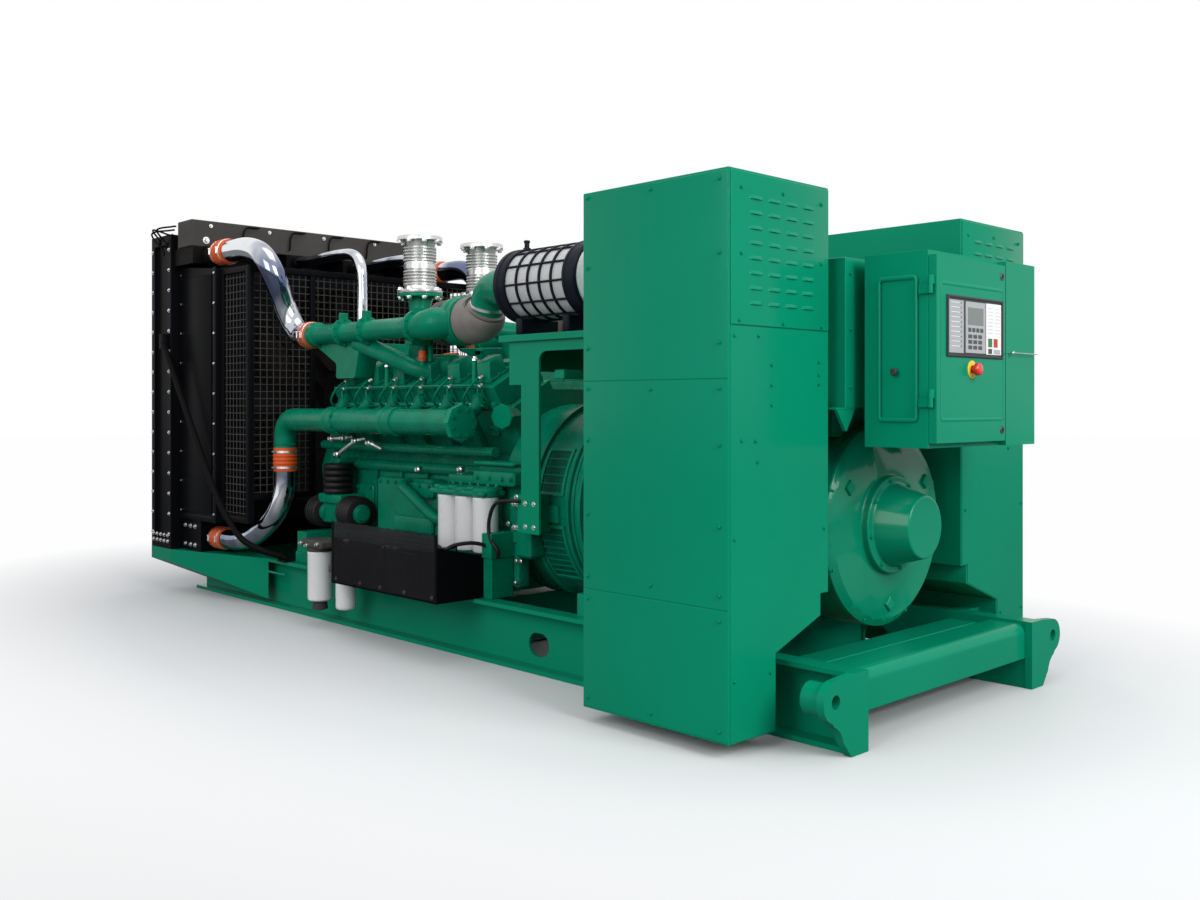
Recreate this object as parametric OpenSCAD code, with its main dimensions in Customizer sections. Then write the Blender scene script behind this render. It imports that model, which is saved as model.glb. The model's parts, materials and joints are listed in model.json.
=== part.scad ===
// Open standby generator set: radiator, V engine and alternator on one skid,
// with a power cabinet on each side of the alternator and a control box behind it.
// X runs along the crankshaft from the radiator to the control box, Y across, Z up.
// The origin is at the middle of the set's footprint, on the ground.

/* [Skid] */
// Length of the two skid rails
skid_l = 4720; // [4500:10:5200]
// Height of the rail section
rail_h = 265; // [230:5:320]
// Distance from the centre plane to the outer edge of a rail
rail_out_y = 663; // [640:1:700]
// Width of the rail flanges
rail_flange_w = 78; // [60:1:100]
// Thickness of the rail web
rail_web_t = 12; // [8:1:16]
// Thickness of the rail flanges
rail_flange_t = 18; // [12:1:24]
// Length of the slots through the rail webs
rail_hole_w = 130; // [110:5:200]
// Height of those slots
rail_hole_h = 100; // [60:5:110]
// Height of their middles above the ground
rail_hole_z = 105; // [90:1:130]
// Place of the first slot along the set, from its middle
rail_hole_x = 762; // [400:2:900]
// Distance from the first slot to the second
rail_hole_pitch = 900; // [400:10:1200]
// Length of a cross member along the set
cross_l = 120; // [60:5:160]
// Thickness of the lifting lug plates
lug_t = 30; // [20:1:40]
// Bore of a lifting lug
lug_bore_d = 46; // [36:1:60]
// Radius of the lug plate round its bore
lug_r = 66; // [55:1:75]
// Distance from the centre plane to a lug's bore
lug_y = 765; // [745:1:790]
// Height of the lug bores
lug_z = 190; // [170:1:200]
// Height of the end beam's lower edge
end_beam_z = 116; // [90:1:140]

/* [Radiator] */
// How far the radiator frame stands in front of the rails
frame_overhang = 150; // [60:5:220]
// Width of the radiator frame
frame_w = 1760; // [1600:10:1900]
// Depth of the radiator frame
frame_d = 275; // [220:5:320]
// Height of the top of the radiator frame
frame_top_z = 2143; // [2000:1:2250]
// Width of the frame's channels
frame_bar = 85; // [60:1:110]
// Depth of the recess in the frame's side channels
frame_recess = 22; // [5:1:30]
// Thickness of the fin block
core_t = 190; // [120:5:210]
// Distance from the frame's side in to the shroud box
shroud_inset = 60; // [40:1:90]
// Length of the closed shroud box
shroud_l = 475; // [400:5:600]
// Distance from the top tank down to the shroud box
shroud_drop = 100; // [95:1:200]
// Fall of the shroud box's top towards the engine
shroud_fall = 45; // [0:5:80]
// Sheet thickness of the shroud and the fan guard frame
shroud_t = 8; // [4:1:12]
// Diameter of the fan
fan_d = 1300; // [1000:10:1400]
// Number of fan blades
fan_blades = 8; // [6:1:10]
// Distance from the shroud's side in to the fan guard
guard_inset = 20; // [0:1:50]
// Length of the fan guard
guard_l = 340; // [280:5:350]
// Distance from the shroud's top down to the guard's
guard_drop = 52; // [48:1:100]
// Size of the guard's angle bars
guard_bar = 34; // [24:1:45]
// Spacing of the guard's wires
guard_pitch = 200; // [150:10:400]
// Thickness of the guard's wires
guard_wire = 6; // [4:1:10]
// Distance from the frame's side in to the top tank
tank_inset = 10; // [0:1:50]
// Depth of the top tank
tank_d = 185; // [150:5:220]
// Distance from the frame's top down to the tank's lower edge
tank_drop = 93; // [85:1:120]
// Height of the top tank
tank_h = 157; // [120:1:180]

/* [Engine] */
// Height of the crankshaft above the ground
crank_z = 675; // [640:1:720]
// Distance between cylinders along a bank
cyl_pitch = 234; // [226:1:240]
// Cylinders on each bank
cyl_count = 6; // [5:1:6]
// Position of the rearmost cylinder
cyl_rear_x = 190; // [185:0.5:195]
// Length of the block behind the last cylinder's bay
rear_l = 27.5; // [22:0.5:35]
// Length of the block ahead of the first cylinder's bay
front_l = 208.5; // [190:0.5:230]
// Angle of each bank from the vertical
bank_angle = 30; // [22.5:0.5:35]
// Radius from the crankshaft to the block's deck
deck_r = 575; // [540:1:620]
// Width of a bank's deck
deck_w = 300; // [260:5:330]
// Height of a cylinder head
head_h = 125; // [90:1:150]
// Height of a rocker cover
rocker_h = 76; // [70:1:110]
// Length of a rocker cover along the set
rocker_l = 96; // [80:1:150]
// Half width of the crankcase
crankcase_y = 330; // [300:1:380]
// Height of the oil pan's bottom
pan_z = 300; // [285:1:360]
// Radius of the flywheel housing
flywheel_r = 455; // [420:1:480]
// Thickness of the flywheel housing
flywheel_t = 230; // [100:5:260]
// Diameter of the long coolant manifolds
manifold_d = 124; // [110:1:150]
// Distance from the centre plane to those manifolds
manifold_y = 640; // [625:1:660]
// Height of those manifolds
manifold_z = 1045; // [1020:1:1070]
// Diameter of the bright coolant pipes
pipe_d = 118; // [90:1:122]
// Diameter of the charge air pipes
air_pipe_d = 135; // [110:1:150]
// Height of the charge air pipes
air_pipe_z = 1505; // [1495:1:1525]
// Diameter of the painted air ducts
duct_d = 102; // [90:1:120]
// Wall of the hose couplings round the pipes
hose_wall = 7; // [4:1:10]
// Position of the exhaust outlets along the set
exhaust_x = -655; // [-680:1:-630]
// Distance from the centre plane to an exhaust outlet
exhaust_y = 210; // [200:1:230]
// Height of the exhaust outlet flanges
exhaust_top_z = 2025; // [1950:1:2060]
// Bore of the exhaust bellows
exhaust_bore_d = 150; // [120:1:156]
// Diameter of the exhaust flanges
exhaust_flange_d = 240; // [226:1:260]
// Diameter of the air cleaners
cleaner_d = 330; // [280:5:350]
// Length of the air cleaners
cleaner_l = 520; // [450:5:700]
// Distance from the centre plane to an air cleaner's axis
cleaner_y = 500; // [480:1:520]
// Height of an air cleaner's axis
cleaner_z = 1650; // [1640:1:1680]
// Diameter of the spin-on filters
filter_d = 118; // [100:1:124]

/* [Alternator] */
// Radius of the adaptor between engine and alternator
adaptor_r = 480; // [460:1:520]
// Length of the adaptor
adaptor_l = 325; // [200:5:380]
// Radius of the alternator body
body_r = 432; // [400:1:436]
// Radius of the end cover's disc
end_disc_r = 385; // [360:1:400]
// Length of the cone on the end cover
cone_l = 128; // [80:1:140]
// Width of the terminal box
term_w = 800; // [700:10:840]
// Height of the terminal box's bottom
term_z = 1115; // [1112:1:1140]
// Height of the terminal box
term_h = 528; // [450:1:600]

/* [Power cabinets] */
// Length of a power cabinet along the set
cab_l = 670; // [560:5:750]
// Distance from the skid's end back to the cabinets' end faces
cab_end_gap = 210; // [180:5:260]
// Distance from the centre plane to a cabinet's inner face
cab_in_y = 460; // [445:1:480]
// Distance from the centre plane to a cabinet's outer face
cab_out_y = 1000; // [960:1:1060]
// Height of the cabinets' bottom
cab_z = 50; // [30:1:80]
// Height of the cabinets' top
cab_top_z = 1879; // [1780:1:1950]
// Height of the seam above the cabinets' lower panel
cab_seam_z = 475; // [460:1:520]
// Thickness of the louvred panels
louvre_t = 5; // [3:1:10]
// Diameter of the bolts on the cabinets
cab_bolt_d = 14; // [10:1:20]

/* [Control box] */
// Depth of the control box
box_d = 245; // [200:5:300]
// Width of the control box
box_w = 715; // [640:5:760]
// Height of the control box
box_h = 665; // [600:5:720]
// Height of the control box's bottom
box_z = 980; // [960:1:1020]
// Sheet thickness of the control box
box_t = 4; // [2:0.5:6]
// Gap between the terminal box and the control box
box_gap = 50; // [40:1:70]
// Width of the control door
door_w = 480; // [440:5:500]
// Height of the control door
door_h = 630; // [560:5:640]
// Thickness of the control door
door_t = 30; // [24:1:40]
// Widest opening angle of the control door
door_open = 115; // [60:5:120]
// Diameter of the hinge barrels
hinge_d = 16; // [12:1:18]
// Length of a hinge barrel
hinge_l = 60; // [40:1:80]
// Diameter of the stop button's head
stop_d = 44; // [36:1:50]
// Travel of the stop button
stop_travel = 6; // [4:1:8]

/* [Hidden] */
$fn = 64;

green = [0.02, 0.42, 0.27];
black = [0.05, 0.05, 0.055];
bright = [0.8, 0.81, 0.83];
orange = [0.85, 0.25, 0.06];
white = [0.9, 0.9, 0.9];
grey = [0.55, 0.58, 0.55];

// Radiator widths and heights, each from the frame
shroud_w = frame_w - 2 * shroud_inset;
guard_w = shroud_w - 2 * guard_inset;
tank_w = frame_w - 2 * tank_inset;
tank_z = frame_top_z - tank_drop;
shroud_top_z = tank_z - shroud_drop;
guard_top_z = shroud_top_z - guard_drop;
shroud_z0 = rail_h + 185;
guard_z0 = shroud_z0 + 20;
guard_back_z = shroud_z0 + 150;
guard_bar_z = guard_top_z - 428;
fan_z = (shroud_z0 + shroud_top_z) / 2 - 40;

// Stations along the set
stop_out = 35;
box_overhang = box_gap + box_d + door_t + stop_out - 180;
overall_l = frame_overhang + skid_l + box_overhang;
front_x = -overall_l / 2;
skid_x0 = front_x + frame_overhang;
skid_x1 = skid_x0 + skid_l;
term_x1 = skid_x1 - 180;
box_x0 = term_x1 + box_gap;
box_x1 = box_x0 + box_d;
door_x1 = box_x1 + door_t;
cab_x1 = skid_x1 - cab_end_gap;
cab_x0 = cab_x1 - cab_l;
frame_x1 = front_x + frame_d;
shroud_x1 = frame_x1 + shroud_l;
guard_x1 = shroud_x1 + guard_l;
block_x1 = cyl_rear_x + cyl_pitch / 2 + rear_l;
cyl_front_x = cyl_rear_x - (cyl_count - 1) * cyl_pitch;
block_x0 = cyl_front_x - cyl_pitch / 2 - front_l;
bank_x0 = cyl_front_x - cyl_pitch / 2 - 20;
flywheel_x1 = block_x1 + flywheel_t;
adaptor_x0 = flywheel_x1;
adaptor_x1 = adaptor_x0 + adaptor_l;
adaptor_rim = 20;
body_x1 = term_x1 - 140;
box_y0 = -box_w / 2;
box_y1 = box_w / 2;
door_y0 = box_y0 + 4;
door_z0 = box_z + (box_h - door_h) / 2;
rail_in_y = rail_out_y - rail_flange_w;
turbo_x = 5;
turbo_y = 430;
turbine_y = 400;
turbo_z = 1530;

// Repeats a piece as its mirror image across the centre plane
module right_hand() { mirror([0, 1, 0]) children(); }
module both_hands() { children(); right_hand() children(); }

// A box given by its lowest and highest corners
module block(low, high) { translate(low) cube(high - low); }

// A cylinder along X, Y or Z from a start point
module rod_x(p, d, l) { translate(p) rotate([0, 90, 0]) cylinder(d = d, h = l); }
module rod_y(p, d, l) { translate(p) rotate([-90, 0, 0]) cylinder(d = d, h = l); }

// Points of a smooth curve through hand-set stations, steps to a span
function spline_point(a, b, c, d, t) =
  0.5 * (2 * b + (c - a) * t + (2 * a - 5 * b + 4 * c - d) * t * t
    + (3 * b - a - 3 * c + d) * t * t * t);
function spline(p, steps) = concat(
  [for (i = [0 : len(p) - 2]) for (s = [0 : steps - 1])
    spline_point(p[max(i - 1, 0)], p[i], p[i + 1], p[min(i + 2, len(p) - 1)], s / steps)],
  [p[len(p) - 1]]);
function unit(v) = v / norm(v);

// A round tube of diameter d along the points p, with n sides
module tube(p, d, n = 16) {
  last = len(p) - 1;
  dirs = [for (i = [0 : last]) unit(p[min(i + 1, last)] - p[max(i - 1, 0)])];
  side = [for (t = dirs) unit(cross(t, [0, 1, 0]))];
  points = [for (i = [0 : last]) for (k = [0 : n - 1])
    p[i] + d / 2 * (cos(360 * k / n) * side[i] + sin(360 * k / n) * cross(dirs[i], side[i]))];
  walls = [for (i = [0 : last - 1]) for (k = [0 : n - 1])
    [i * n + k, (i + 1) * n + k, (i + 1) * n + (k + 1) % n, i * n + (k + 1) % n]];
  start = [for (k = [0 : n - 1]) k];
  finish = [for (k = [n - 1 : -1 : 0]) last * n + k];
  polyhedron(points, concat(walls, [start], [finish]), convexity = 6);
}

// ---------------------------------------------------------------- skid

module rail() {
  color(green) difference() {
    union() {
      block([skid_x0, -rail_in_y - rail_web_t, 0], [skid_x1, -rail_in_y, rail_h]);
      block([skid_x0, -rail_out_y, 0], [skid_x1, -rail_in_y, rail_flange_t]);
      block([skid_x0, -rail_out_y, rail_h - rail_flange_t], [skid_x1, -rail_in_y, rail_h]);
    }
    for (x = [rail_hole_x, rail_hole_x + rail_hole_pitch]) {
      for (dx = [-rail_hole_w / 2 + rail_hole_h / 2, rail_hole_w / 2 - rail_hole_h / 2])
        rod_y([x + dx, -rail_out_y, rail_hole_z], rail_hole_h, rail_flange_w + 1);
      block([x - (rail_hole_w - rail_hole_h) / 2, -rail_out_y, rail_hole_z - rail_hole_h / 2],
        [x + (rail_hole_w - rail_hole_h) / 2, -rail_in_y + 1, rail_hole_z + rail_hole_h / 2]);
    }
  }
}
module skid_rails() { both_hands() rail(); }

module skid_cross_members() {
  stations = [skid_x0, skid_x0 + 1000, block_x1 - cross_l, cab_x0, cab_x1 - cross_l];
  color(green) for (x = stations)
    block([x, -rail_in_y, 20], [x + cross_l, rail_in_y, rail_h - 30]);
}

// The end beam is open below and rounded along its upper outer edge
module skid_end_beam() {
  r = 40;
  beam_x0 = skid_x1 - 150;
  color(green) difference() {
    union() {
      block([beam_x0, -rail_in_y, end_beam_z], [skid_x1 - r, rail_in_y, rail_h - 10]);
      block([beam_x0, -rail_in_y, end_beam_z], [skid_x1, rail_in_y, rail_h - 10 - r]);
      rod_y([skid_x1 - r, -rail_in_y, rail_h - 10 - r], 2 * r, 2 * rail_in_y);
    }
    block([beam_x0 - 1, -rail_in_y + 20, end_beam_z - 1],
      [skid_x1 - 14, rail_in_y - 20, end_beam_z + 60]);
  }
}

// A lifting lug across the rail's end, with a boss behind its bore
module lug() {
  color(green) difference() {
    union() {
      translate([skid_x1, 0, 0]) rotate([90, 0, 90]) linear_extrude(lug_t) difference() {
        union() {
          translate([-rail_out_y - 2, 0]) square([84, rail_h]);
          translate([-lug_y, lug_z]) circle(r = lug_r);
          polygon([[-lug_y, lug_z + lug_r], [-rail_out_y, rail_h], [-rail_out_y, 0],
            [-rail_out_y - 14, 0], [-lug_y - 20, lug_z - lug_r + 4]]);
        }
        translate([-lug_y - 40, lug_z - lug_r - 88]) circle(r = 84);
      }
      rod_x([skid_x1 - 70, -lug_y, lug_z], 2 * lug_r - 24, 70);
    }
    rod_x([skid_x1 - 80, -lug_y, lug_z], lug_bore_d, lug_t + 90);
  }
}
module lifting_lugs() { both_hands() lug(); }

// Outriggers carry the wide radiator beyond the rails
module outrigger() {
  tip_z = rail_h - 72;
  hull() {
    block([front_x, -frame_w / 2, tip_z], [frame_x1, -rail_out_y, rail_h]);
    block([skid_x0 + 900, -rail_out_y - 2, 40], [skid_x0 + 910, -rail_out_y, rail_h]);
  }
}
module radiator_outriggers() {
  color(green) {
    both_hands() outrigger();
    block([front_x, -rail_out_y, rail_h - 72], [skid_x0, rail_out_y, rail_h]);
  }
}

// ---------------------------------------------------------------- radiator

module radiator_frame() {
  y = frame_w / 2;
  color(black) difference() {
    block([front_x, -y, rail_h], [frame_x1, y, frame_top_z]);
    block([front_x - 1, -y + frame_bar, rail_h + frame_bar],
      [frame_x1 + 1, y - frame_bar, frame_top_z - frame_bar]);
    both_hands() block([front_x + 45, -y - 1, rail_h + 60],
      [frame_x1 - 45, -y + frame_recess, frame_top_z - 60]);
  }
}

module radiator_core() {
  y = frame_w / 2 - frame_bar;
  mid_x = (front_x + frame_x1) / 2;
  color(grey) block([mid_x - core_t / 2, -y, rail_h + frame_bar],
    [mid_x + core_t / 2, y, frame_top_z - frame_bar]);
}

tank_x0 = frame_x1 + 70;
tank_x1 = tank_x0 + tank_d;
module radiator_top_tank() {
  color(black) {
    block([tank_x0, -tank_w / 2, tank_z], [tank_x1, tank_w / 2, tank_z + tank_h]);
    for (y = [-tank_w / 2 + 60, 0, tank_w / 2 - 60])
      block([frame_x1, y - 30, tank_z], [tank_x0, y + 30, tank_z + 50]);
  }
}

port_y = tank_w / 2 - 120;
port_z = tank_z - 45;
port_x1 = tank_x1 + 120;
port_box_z = shroud_top_z;
low_port_y = shroud_w / 2 - 105;
low_port_z = rail_h + 83;
header_x1 = frame_x1 + 250;
// Charge air headers and coolant outlets under the tank, each with a round neck
module radiator_pipe_ports() {
  color(black) both_hands() {
    block([frame_x1, -tank_w / 2 + 10, port_box_z], [tank_x1, -port_y + 110, tank_z]);
    rod_x([tank_x1, -port_y, port_z], air_pipe_d - 6, port_x1 - tank_x1);
    block([tank_x0, -therm_y - 60, port_box_z], [tank_x1, -therm_y + 60, tank_z]);
    rod_x([tank_x1, -therm_y, therm_z], therm_d + 8, 60);
  }
}

module radiator_bottom_tank() {
  color(black) {
    block([frame_x1, -shroud_w / 2 + 10, rail_h], [header_x1, shroud_w / 2 - 10, shroud_z0]);
    both_hands() rod_x([header_x1, -low_port_y, low_port_z], pipe_d, 20);
  }
}

module fan_shroud() {
  y = shroud_w / 2;
  back_z = shroud_top_z - shroud_fall;
  color(black) difference() {
    translate([0, y, 0]) rotate([90, 0, 0]) linear_extrude(shroud_w)
      polygon([[frame_x1, shroud_z0], [shroud_x1, shroud_z0], [shroud_x1, back_z],
        [frame_x1, shroud_top_z]]);
    translate([0, y - shroud_t, 0]) rotate([90, 0, 0]) linear_extrude(shroud_w - 2 * shroud_t)
      polygon([[frame_x1 - 1, shroud_z0 + shroud_t], [shroud_x1 - shroud_t, shroud_z0 + shroud_t],
        [shroud_x1 - shroud_t, back_z - shroud_t], [frame_x1 - 1, shroud_top_z - shroud_t]]);
    rod_x([shroud_x1 - 50, 0, fan_z], fan_d + 40, 100);
  }
}

fan_hub_x1 = shroud_x1 + 90;
module fan() {
  color(black) {
    rod_x([shroud_x1 - 80, 0, fan_z], 360, 170);
    for (i = [0 : fan_blades - 1])
      translate([shroud_x1, 0, fan_z]) rotate([i * 360 / fan_blades, 0, 0])
        translate([0, 0, 150]) rotate([0, 0, 35]) translate([-8, -95, 0])
          cube([16, 190, fan_d / 2 - 155]);
  }
}

module guard_side() {
  y = guard_w / 2;
  z0 = guard_z0;
  for (x = [shroud_x1, guard_x1 - guard_bar])
    block([x, -y, z0], [x + guard_bar, -y + guard_bar, guard_top_z]);
  block([shroud_x1, -y, guard_top_z - guard_bar], [guard_x1, -y + guard_bar, guard_top_z]);
  block([shroud_x1, -y, z0], [guard_x1, -y + guard_bar, z0 + guard_bar]);
  mid = -y + guard_bar / 2;
  for (z = [z0 + guard_pitch : guard_pitch : guard_top_z - guard_bar - 10])
    block([shroud_x1 + 10, mid - 3, z], [guard_x1 - 10, mid + 3, z + guard_wire]);
  block([shroud_x1 + guard_l / 2, mid - 3, z0 + 10],
    [shroud_x1 + guard_l / 2 + guard_wire, mid + 3, guard_top_z - 10]);
}
module fan_guard_sides() { color(black) both_hands() guard_side(); }

module fan_guard_back() {
  y = guard_w / 2 - guard_bar;
  x0 = guard_x1 - guard_bar;
  xm = x0 + guard_bar / 2;
  color(black) {
    block([x0, -y, guard_top_z - guard_bar], [guard_x1, y, guard_top_z]);
    for (s = [-1, 1]) {
      block([x0, s * 400 - 15, guard_back_z], [guard_x1, s * 400 + 15, guard_top_z - guard_bar]);
      for (z = [guard_back_z + 30 : guard_pitch : guard_top_z - 60])
        block([xm - 3, min(s * y, s * 400), z], [xm + 3, max(s * y, s * 400), z + guard_wire]);
      for (a = [400 + guard_pitch : guard_pitch : y - 20])
        block([xm - 3, s * a - 3, guard_back_z + 10], [xm + 3, s * a + 3, guard_top_z - guard_bar + 1]);
    }
    block([x0, -y, guard_back_z], [guard_x1, -385, guard_back_z + 30]);
    block([x0, 385, guard_back_z], [guard_x1, y, guard_back_z + 30]);
    for (z = [guard_bar_z + 30 : guard_pitch : guard_top_z - 60])
      block([xm - 3, -400, z], [xm + 3, 400, z + guard_wire]);
    block([x0, -400, guard_bar_z], [guard_x1, 400, guard_bar_z + 30]);
  }
}

// Struts from the frame's side channels down to the rails
brace_d = 34;
brace_z = frame_top_z - 633;
module radiator_braces() {
  color(black) both_hands() {
    y = frame_w / 2 + brace_d / 2 + 4;
    tube([[frame_x1 - 60, -y, brace_z], [frame_x1 + 560, -y + 24, rail_h + 385],
      [frame_x1 + 700, -y + 42, rail_h + 225], [guard_x1 - 5, -y + 66, rail_h + 125],
      [guard_x1 + 90, -y + 136, rail_h + 65],
      [guard_x1 + 150, -rail_out_y - 2, rail_h + 20]], brace_d, 10);
    block([guard_x1 + 105, -rail_out_y - 20, rail_h], [guard_x1 + 185, -rail_in_y, rail_h + 12]);
    block([frame_x1 - 90, -y - 12, brace_z - 30], [frame_x1 - 46, -frame_w / 2, brace_z + 30]);
  }
}

// ---------------------------------------------------------------- engine

module engine_block() {
  color(green) {
    translate([block_x0, 0, crank_z]) rotate([90, 0, 90]) linear_extrude(block_x1 - block_x0) {
      polygon([[-crankcase_y, -195], [crankcase_y, -195], [crankcase_y, 120],
        [crankcase_y - 60, 260], [0, 330], [-crankcase_y + 60, 260], [-crankcase_y, 120]]);
      translate([-150, 200]) square([300, 330]);
    }
    translate([bank_x0, 0, crank_z]) rotate([90, 0, 90]) linear_extrude(block_x1 - bank_x0)
      for (s = [-1, 1]) rotate(-s * bank_angle)
        translate([-deck_w / 2, 0]) square([deck_w, deck_r]);
  }
}

module oil_pan() {
  color(green) difference() {
    block([block_x0 + 40, -crankcase_y + 20, pan_z], [block_x1 - 10, crankcase_y - 20, crank_z - 195]);
    both_hands() translate([block_x0, -crankcase_y + 20, pan_z]) rotate([0, 90, 0])
      linear_extrude(block_x1 - block_x0) polygon([[-70, -1], [1, -1], [1, 90]]);
  }
}

gear_x0 = block_x0 - 90;
gear_top = fan_z - crank_z - 5;
// Cast cover over the gears, tall enough to carry the fan's drive
module front_gear_cover() {
  color(green) {
    translate([gear_x0, 0, crank_z]) rotate([90, 0, 90]) linear_extrude(90)
      polygon([[-330, -250], [330, -250], [370, 100], [300, gear_top - 150], [170, gear_top],
        [-170, gear_top], [-300, gear_top - 150], [-370, 100]]);
    rod_x([fan_hub_x1, 0, fan_z], 150, gear_x0 - fan_hub_x1);
  }
}

module accessory_drive() {
  color(black) both_hands() {
    rod_x([gear_x0 - 30, -200, crank_z - 60], 200, 30);
    rod_x([block_x0 + 12, -450, 530], 180, 100);
    rod_x([block_x0 + 360, -450, 540], 190, 110);
    translate([block_x0 + 220, -450, 615]) cylinder(d = 160, h = 160);
    block([block_x0 + 112, -450, 500], [block_x0 + 360, -crankcase_y, 580]);
    block([block_x0 + 190, -480, 580], [block_x0 + 250, -crankcase_y, 615]);
  }
}

// Places a piece on a bank: X stays, Y is across the bank, Z is along the cylinders
module on_bank(x) {
  translate([x, 0, crank_z]) rotate([bank_angle, 0, 0]) children();
}
module head(x) {
  on_bank(x) block([-cyl_pitch / 2 + 6, -deck_w / 2 + 5, deck_r], [cyl_pitch / 2 - 6, deck_w / 2 - 5,
    deck_r + head_h]);
}
module rocker(x) {
  on_bank(x) translate([-rocker_l / 2, 0, deck_r + head_h]) rotate([90, 0, 90])
    linear_extrude(rocker_l)
      polygon([[-106, 0], [12, 0], [18, rocker_h - 14], [-2, rocker_h], [-60, rocker_h],
        [-74, rocker_h - 10]]);
}
module heads() {
  color(green) for (i = [0 : cyl_count - 1]) head(cyl_front_x + i * cyl_pitch);
}
module rockers() {
  color(green) for (i = [0 : cyl_count - 1]) rocker(cyl_front_x + i * cyl_pitch);
}
module cylinder_heads() { both_hands() heads(); }
module rocker_covers() { both_hands() rockers(); }

manifold_x0 = block_x0 + 80;
manifold_x1 = block_x1 - 40;
elbow_r = 95;
elbow_x = manifold_x0 - elbow_r;
elbow_z1 = manifold_z - elbow_r - 60;
// A long manifold beside the heads, with an elbow down at its front end
module manifold() {
  color(green) {
    rod_x([manifold_x0, -manifold_y, manifold_z], manifold_d, manifold_x1 - manifold_x0);
    rod_x([manifold_x1 - 14, -manifold_y, manifold_z], manifold_d + 56, 36);
    for (ring = [[390, 90], [905, 110]])
      rod_x([manifold_x0 + ring[0], -manifold_y, manifold_z], manifold_d + 20, ring[1]);
    tube(concat(
      [[manifold_x0 + 2, -manifold_y, manifold_z]],
      [for (a = [0 : 15 : 90]) [manifold_x0 - elbow_r * sin(a), -manifold_y,
        manifold_z - elbow_r * (1 - cos(a))]],
      [[elbow_x, -manifold_y, elbow_z1]]), pipe_d, 16);
    for (i = [0 : cyl_count - 1])
      block([cyl_front_x + i * cyl_pitch - 30, -manifold_y + 40, manifold_z - 25],
        [cyl_front_x + i * cyl_pitch + 30, -manifold_y + 170, manifold_z + 25]);
  }
}
module coolant_manifolds() { both_hands() manifold(); }

hose_l = 130;
low_pipe_top = [elbow_x, -manifold_y, elbow_z1 - hose_l];
low_pipe_end = [header_x1 + 20 + hose_l, -low_port_y, low_port_z];
module coolant_pipe() {
  color(bright) tube(spline([low_pipe_top, low_pipe_top + [0, 0, -20],
    low_pipe_top + [0, 0, -40], low_pipe_top + [50, 0, -120], low_pipe_top + [30, -20, -230],
    low_pipe_top + [-120, -40, -345], low_pipe_end + [180, 0, 6], low_pipe_end + [60, 0, 0],
    low_pipe_end + [30, 0, 0], low_pipe_end], 3), pipe_d, 16);
}
module coolant_pipes() { both_hands() coolant_pipe(); }

duct_x0 = block_x0 + 190;
duct_x1 = turbo_x - 60;
duct_y = 575;
// The painted charge air duct over the heads
module air_duct() {
  color(green) {
    rod_x([duct_x0, -duct_y, air_pipe_z], duct_d, duct_x1 - duct_x0);
    rod_x([duct_x0, -duct_y, air_pipe_z], air_pipe_d, 50);
    for (x = [duct_x0 + 259, duct_x0 + 447])
      rod_x([x, -duct_y, air_pipe_z], duct_d + 47, 12);
    for (x = [duct_x0 + 120, duct_x0 + 820]) {
      top_z = deck_r + head_h + rocker_h;
      on_bank(x) block([0, -58, top_z], [60, -20, top_z + 14]);
      block([x, -440, crank_z + top_z - 117], [x + 60, -425, air_pipe_z - 40]);
      block([x, -duct_y + 20, air_pipe_z - 57], [x + 60, -425, air_pipe_z - 40]);
    }
  }
}
module charge_air_ducts() { both_hands() air_duct(); }

air_top = [port_x1 + hose_l, -port_y, port_z];
air_end = [duct_x0 - hose_l, -duct_y, air_pipe_z];
module air_pipe() {
  color(bright) tube(spline([air_top, air_top + [20, 0, 0], air_top + [40, 0, 0],
    air_top + [200, 4, -5], air_top + [400, 30, -80], air_end + [-95, -62, 290],
    air_end + [-135, -25, 160], air_end + [-110, -5, 45], air_end + [-60, 0, 0],
    air_end + [-30, 0, 0], air_end], 3),
    air_pipe_d - 8, 16);
}
module charge_air_pipes() { both_hands() air_pipe(); }

therm_y = 200;
therm_z = tank_z - 48;
therm_d = 64;
therm_x = block_x0 + 66;
therm_top_z = crank_z + 805;
// Bright pipes from the thermostat housing over the fan guard to the tank
module thermostat_pipe() {
  tube(spline([[tank_x1 + 60, -therm_y, therm_z], [tank_x1 + 100, -therm_y, therm_z],
    [tank_x1 + 140, -therm_y, therm_z],
    [therm_x - 250, -therm_y, therm_z], [therm_x - 90, -therm_y, therm_z - 20],
    [therm_x - 20, -therm_y, therm_z - 90], [therm_x, -therm_y, therm_z - 240],
    [therm_x, -therm_y, therm_top_z + 120], [therm_x, -therm_y, therm_top_z]], 3), therm_d, 12);
}
module thermostat_pipes() { color(bright) both_hands() thermostat_pipe(); }
module thermostat_housing() {
  color(green) {
    block([therm_x - 70, -therm_y - 45, therm_top_z - 100],
      [therm_x + 70, therm_y + 45, therm_top_z]);
    block([block_x0 + 5, -80, crank_z + 530], [therm_x + 60, 80, therm_top_z - 100]);
  }
}

module coupling(p, q, d) {
  v = q - p;
  translate(p) rotate([0, acos(v[2] / norm(v)), atan2(v[1], v[0])]) cylinder(d = d, h = norm(v));
}
module hose_couplings() {
  color(orange) both_hands() {
    coupling([port_x1, -port_y, port_z], air_top, air_pipe_d + 2 * hose_wall);
    coupling(air_end, [duct_x0, -duct_y, air_pipe_z], air_pipe_d + 2 * hose_wall);
    coupling([elbow_x, -manifold_y, elbow_z1], low_pipe_top, pipe_d + 2 * hose_wall);
    coupling([header_x1 + 20, -low_port_y, low_port_z], low_pipe_end, pipe_d + 2 * hose_wall);
  }
}

bell_l = 145;
turbine_x0 = turbo_x - 220;
turbine_x1 = turbo_x - 120;
exhaust_pipe_d = 104;
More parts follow.
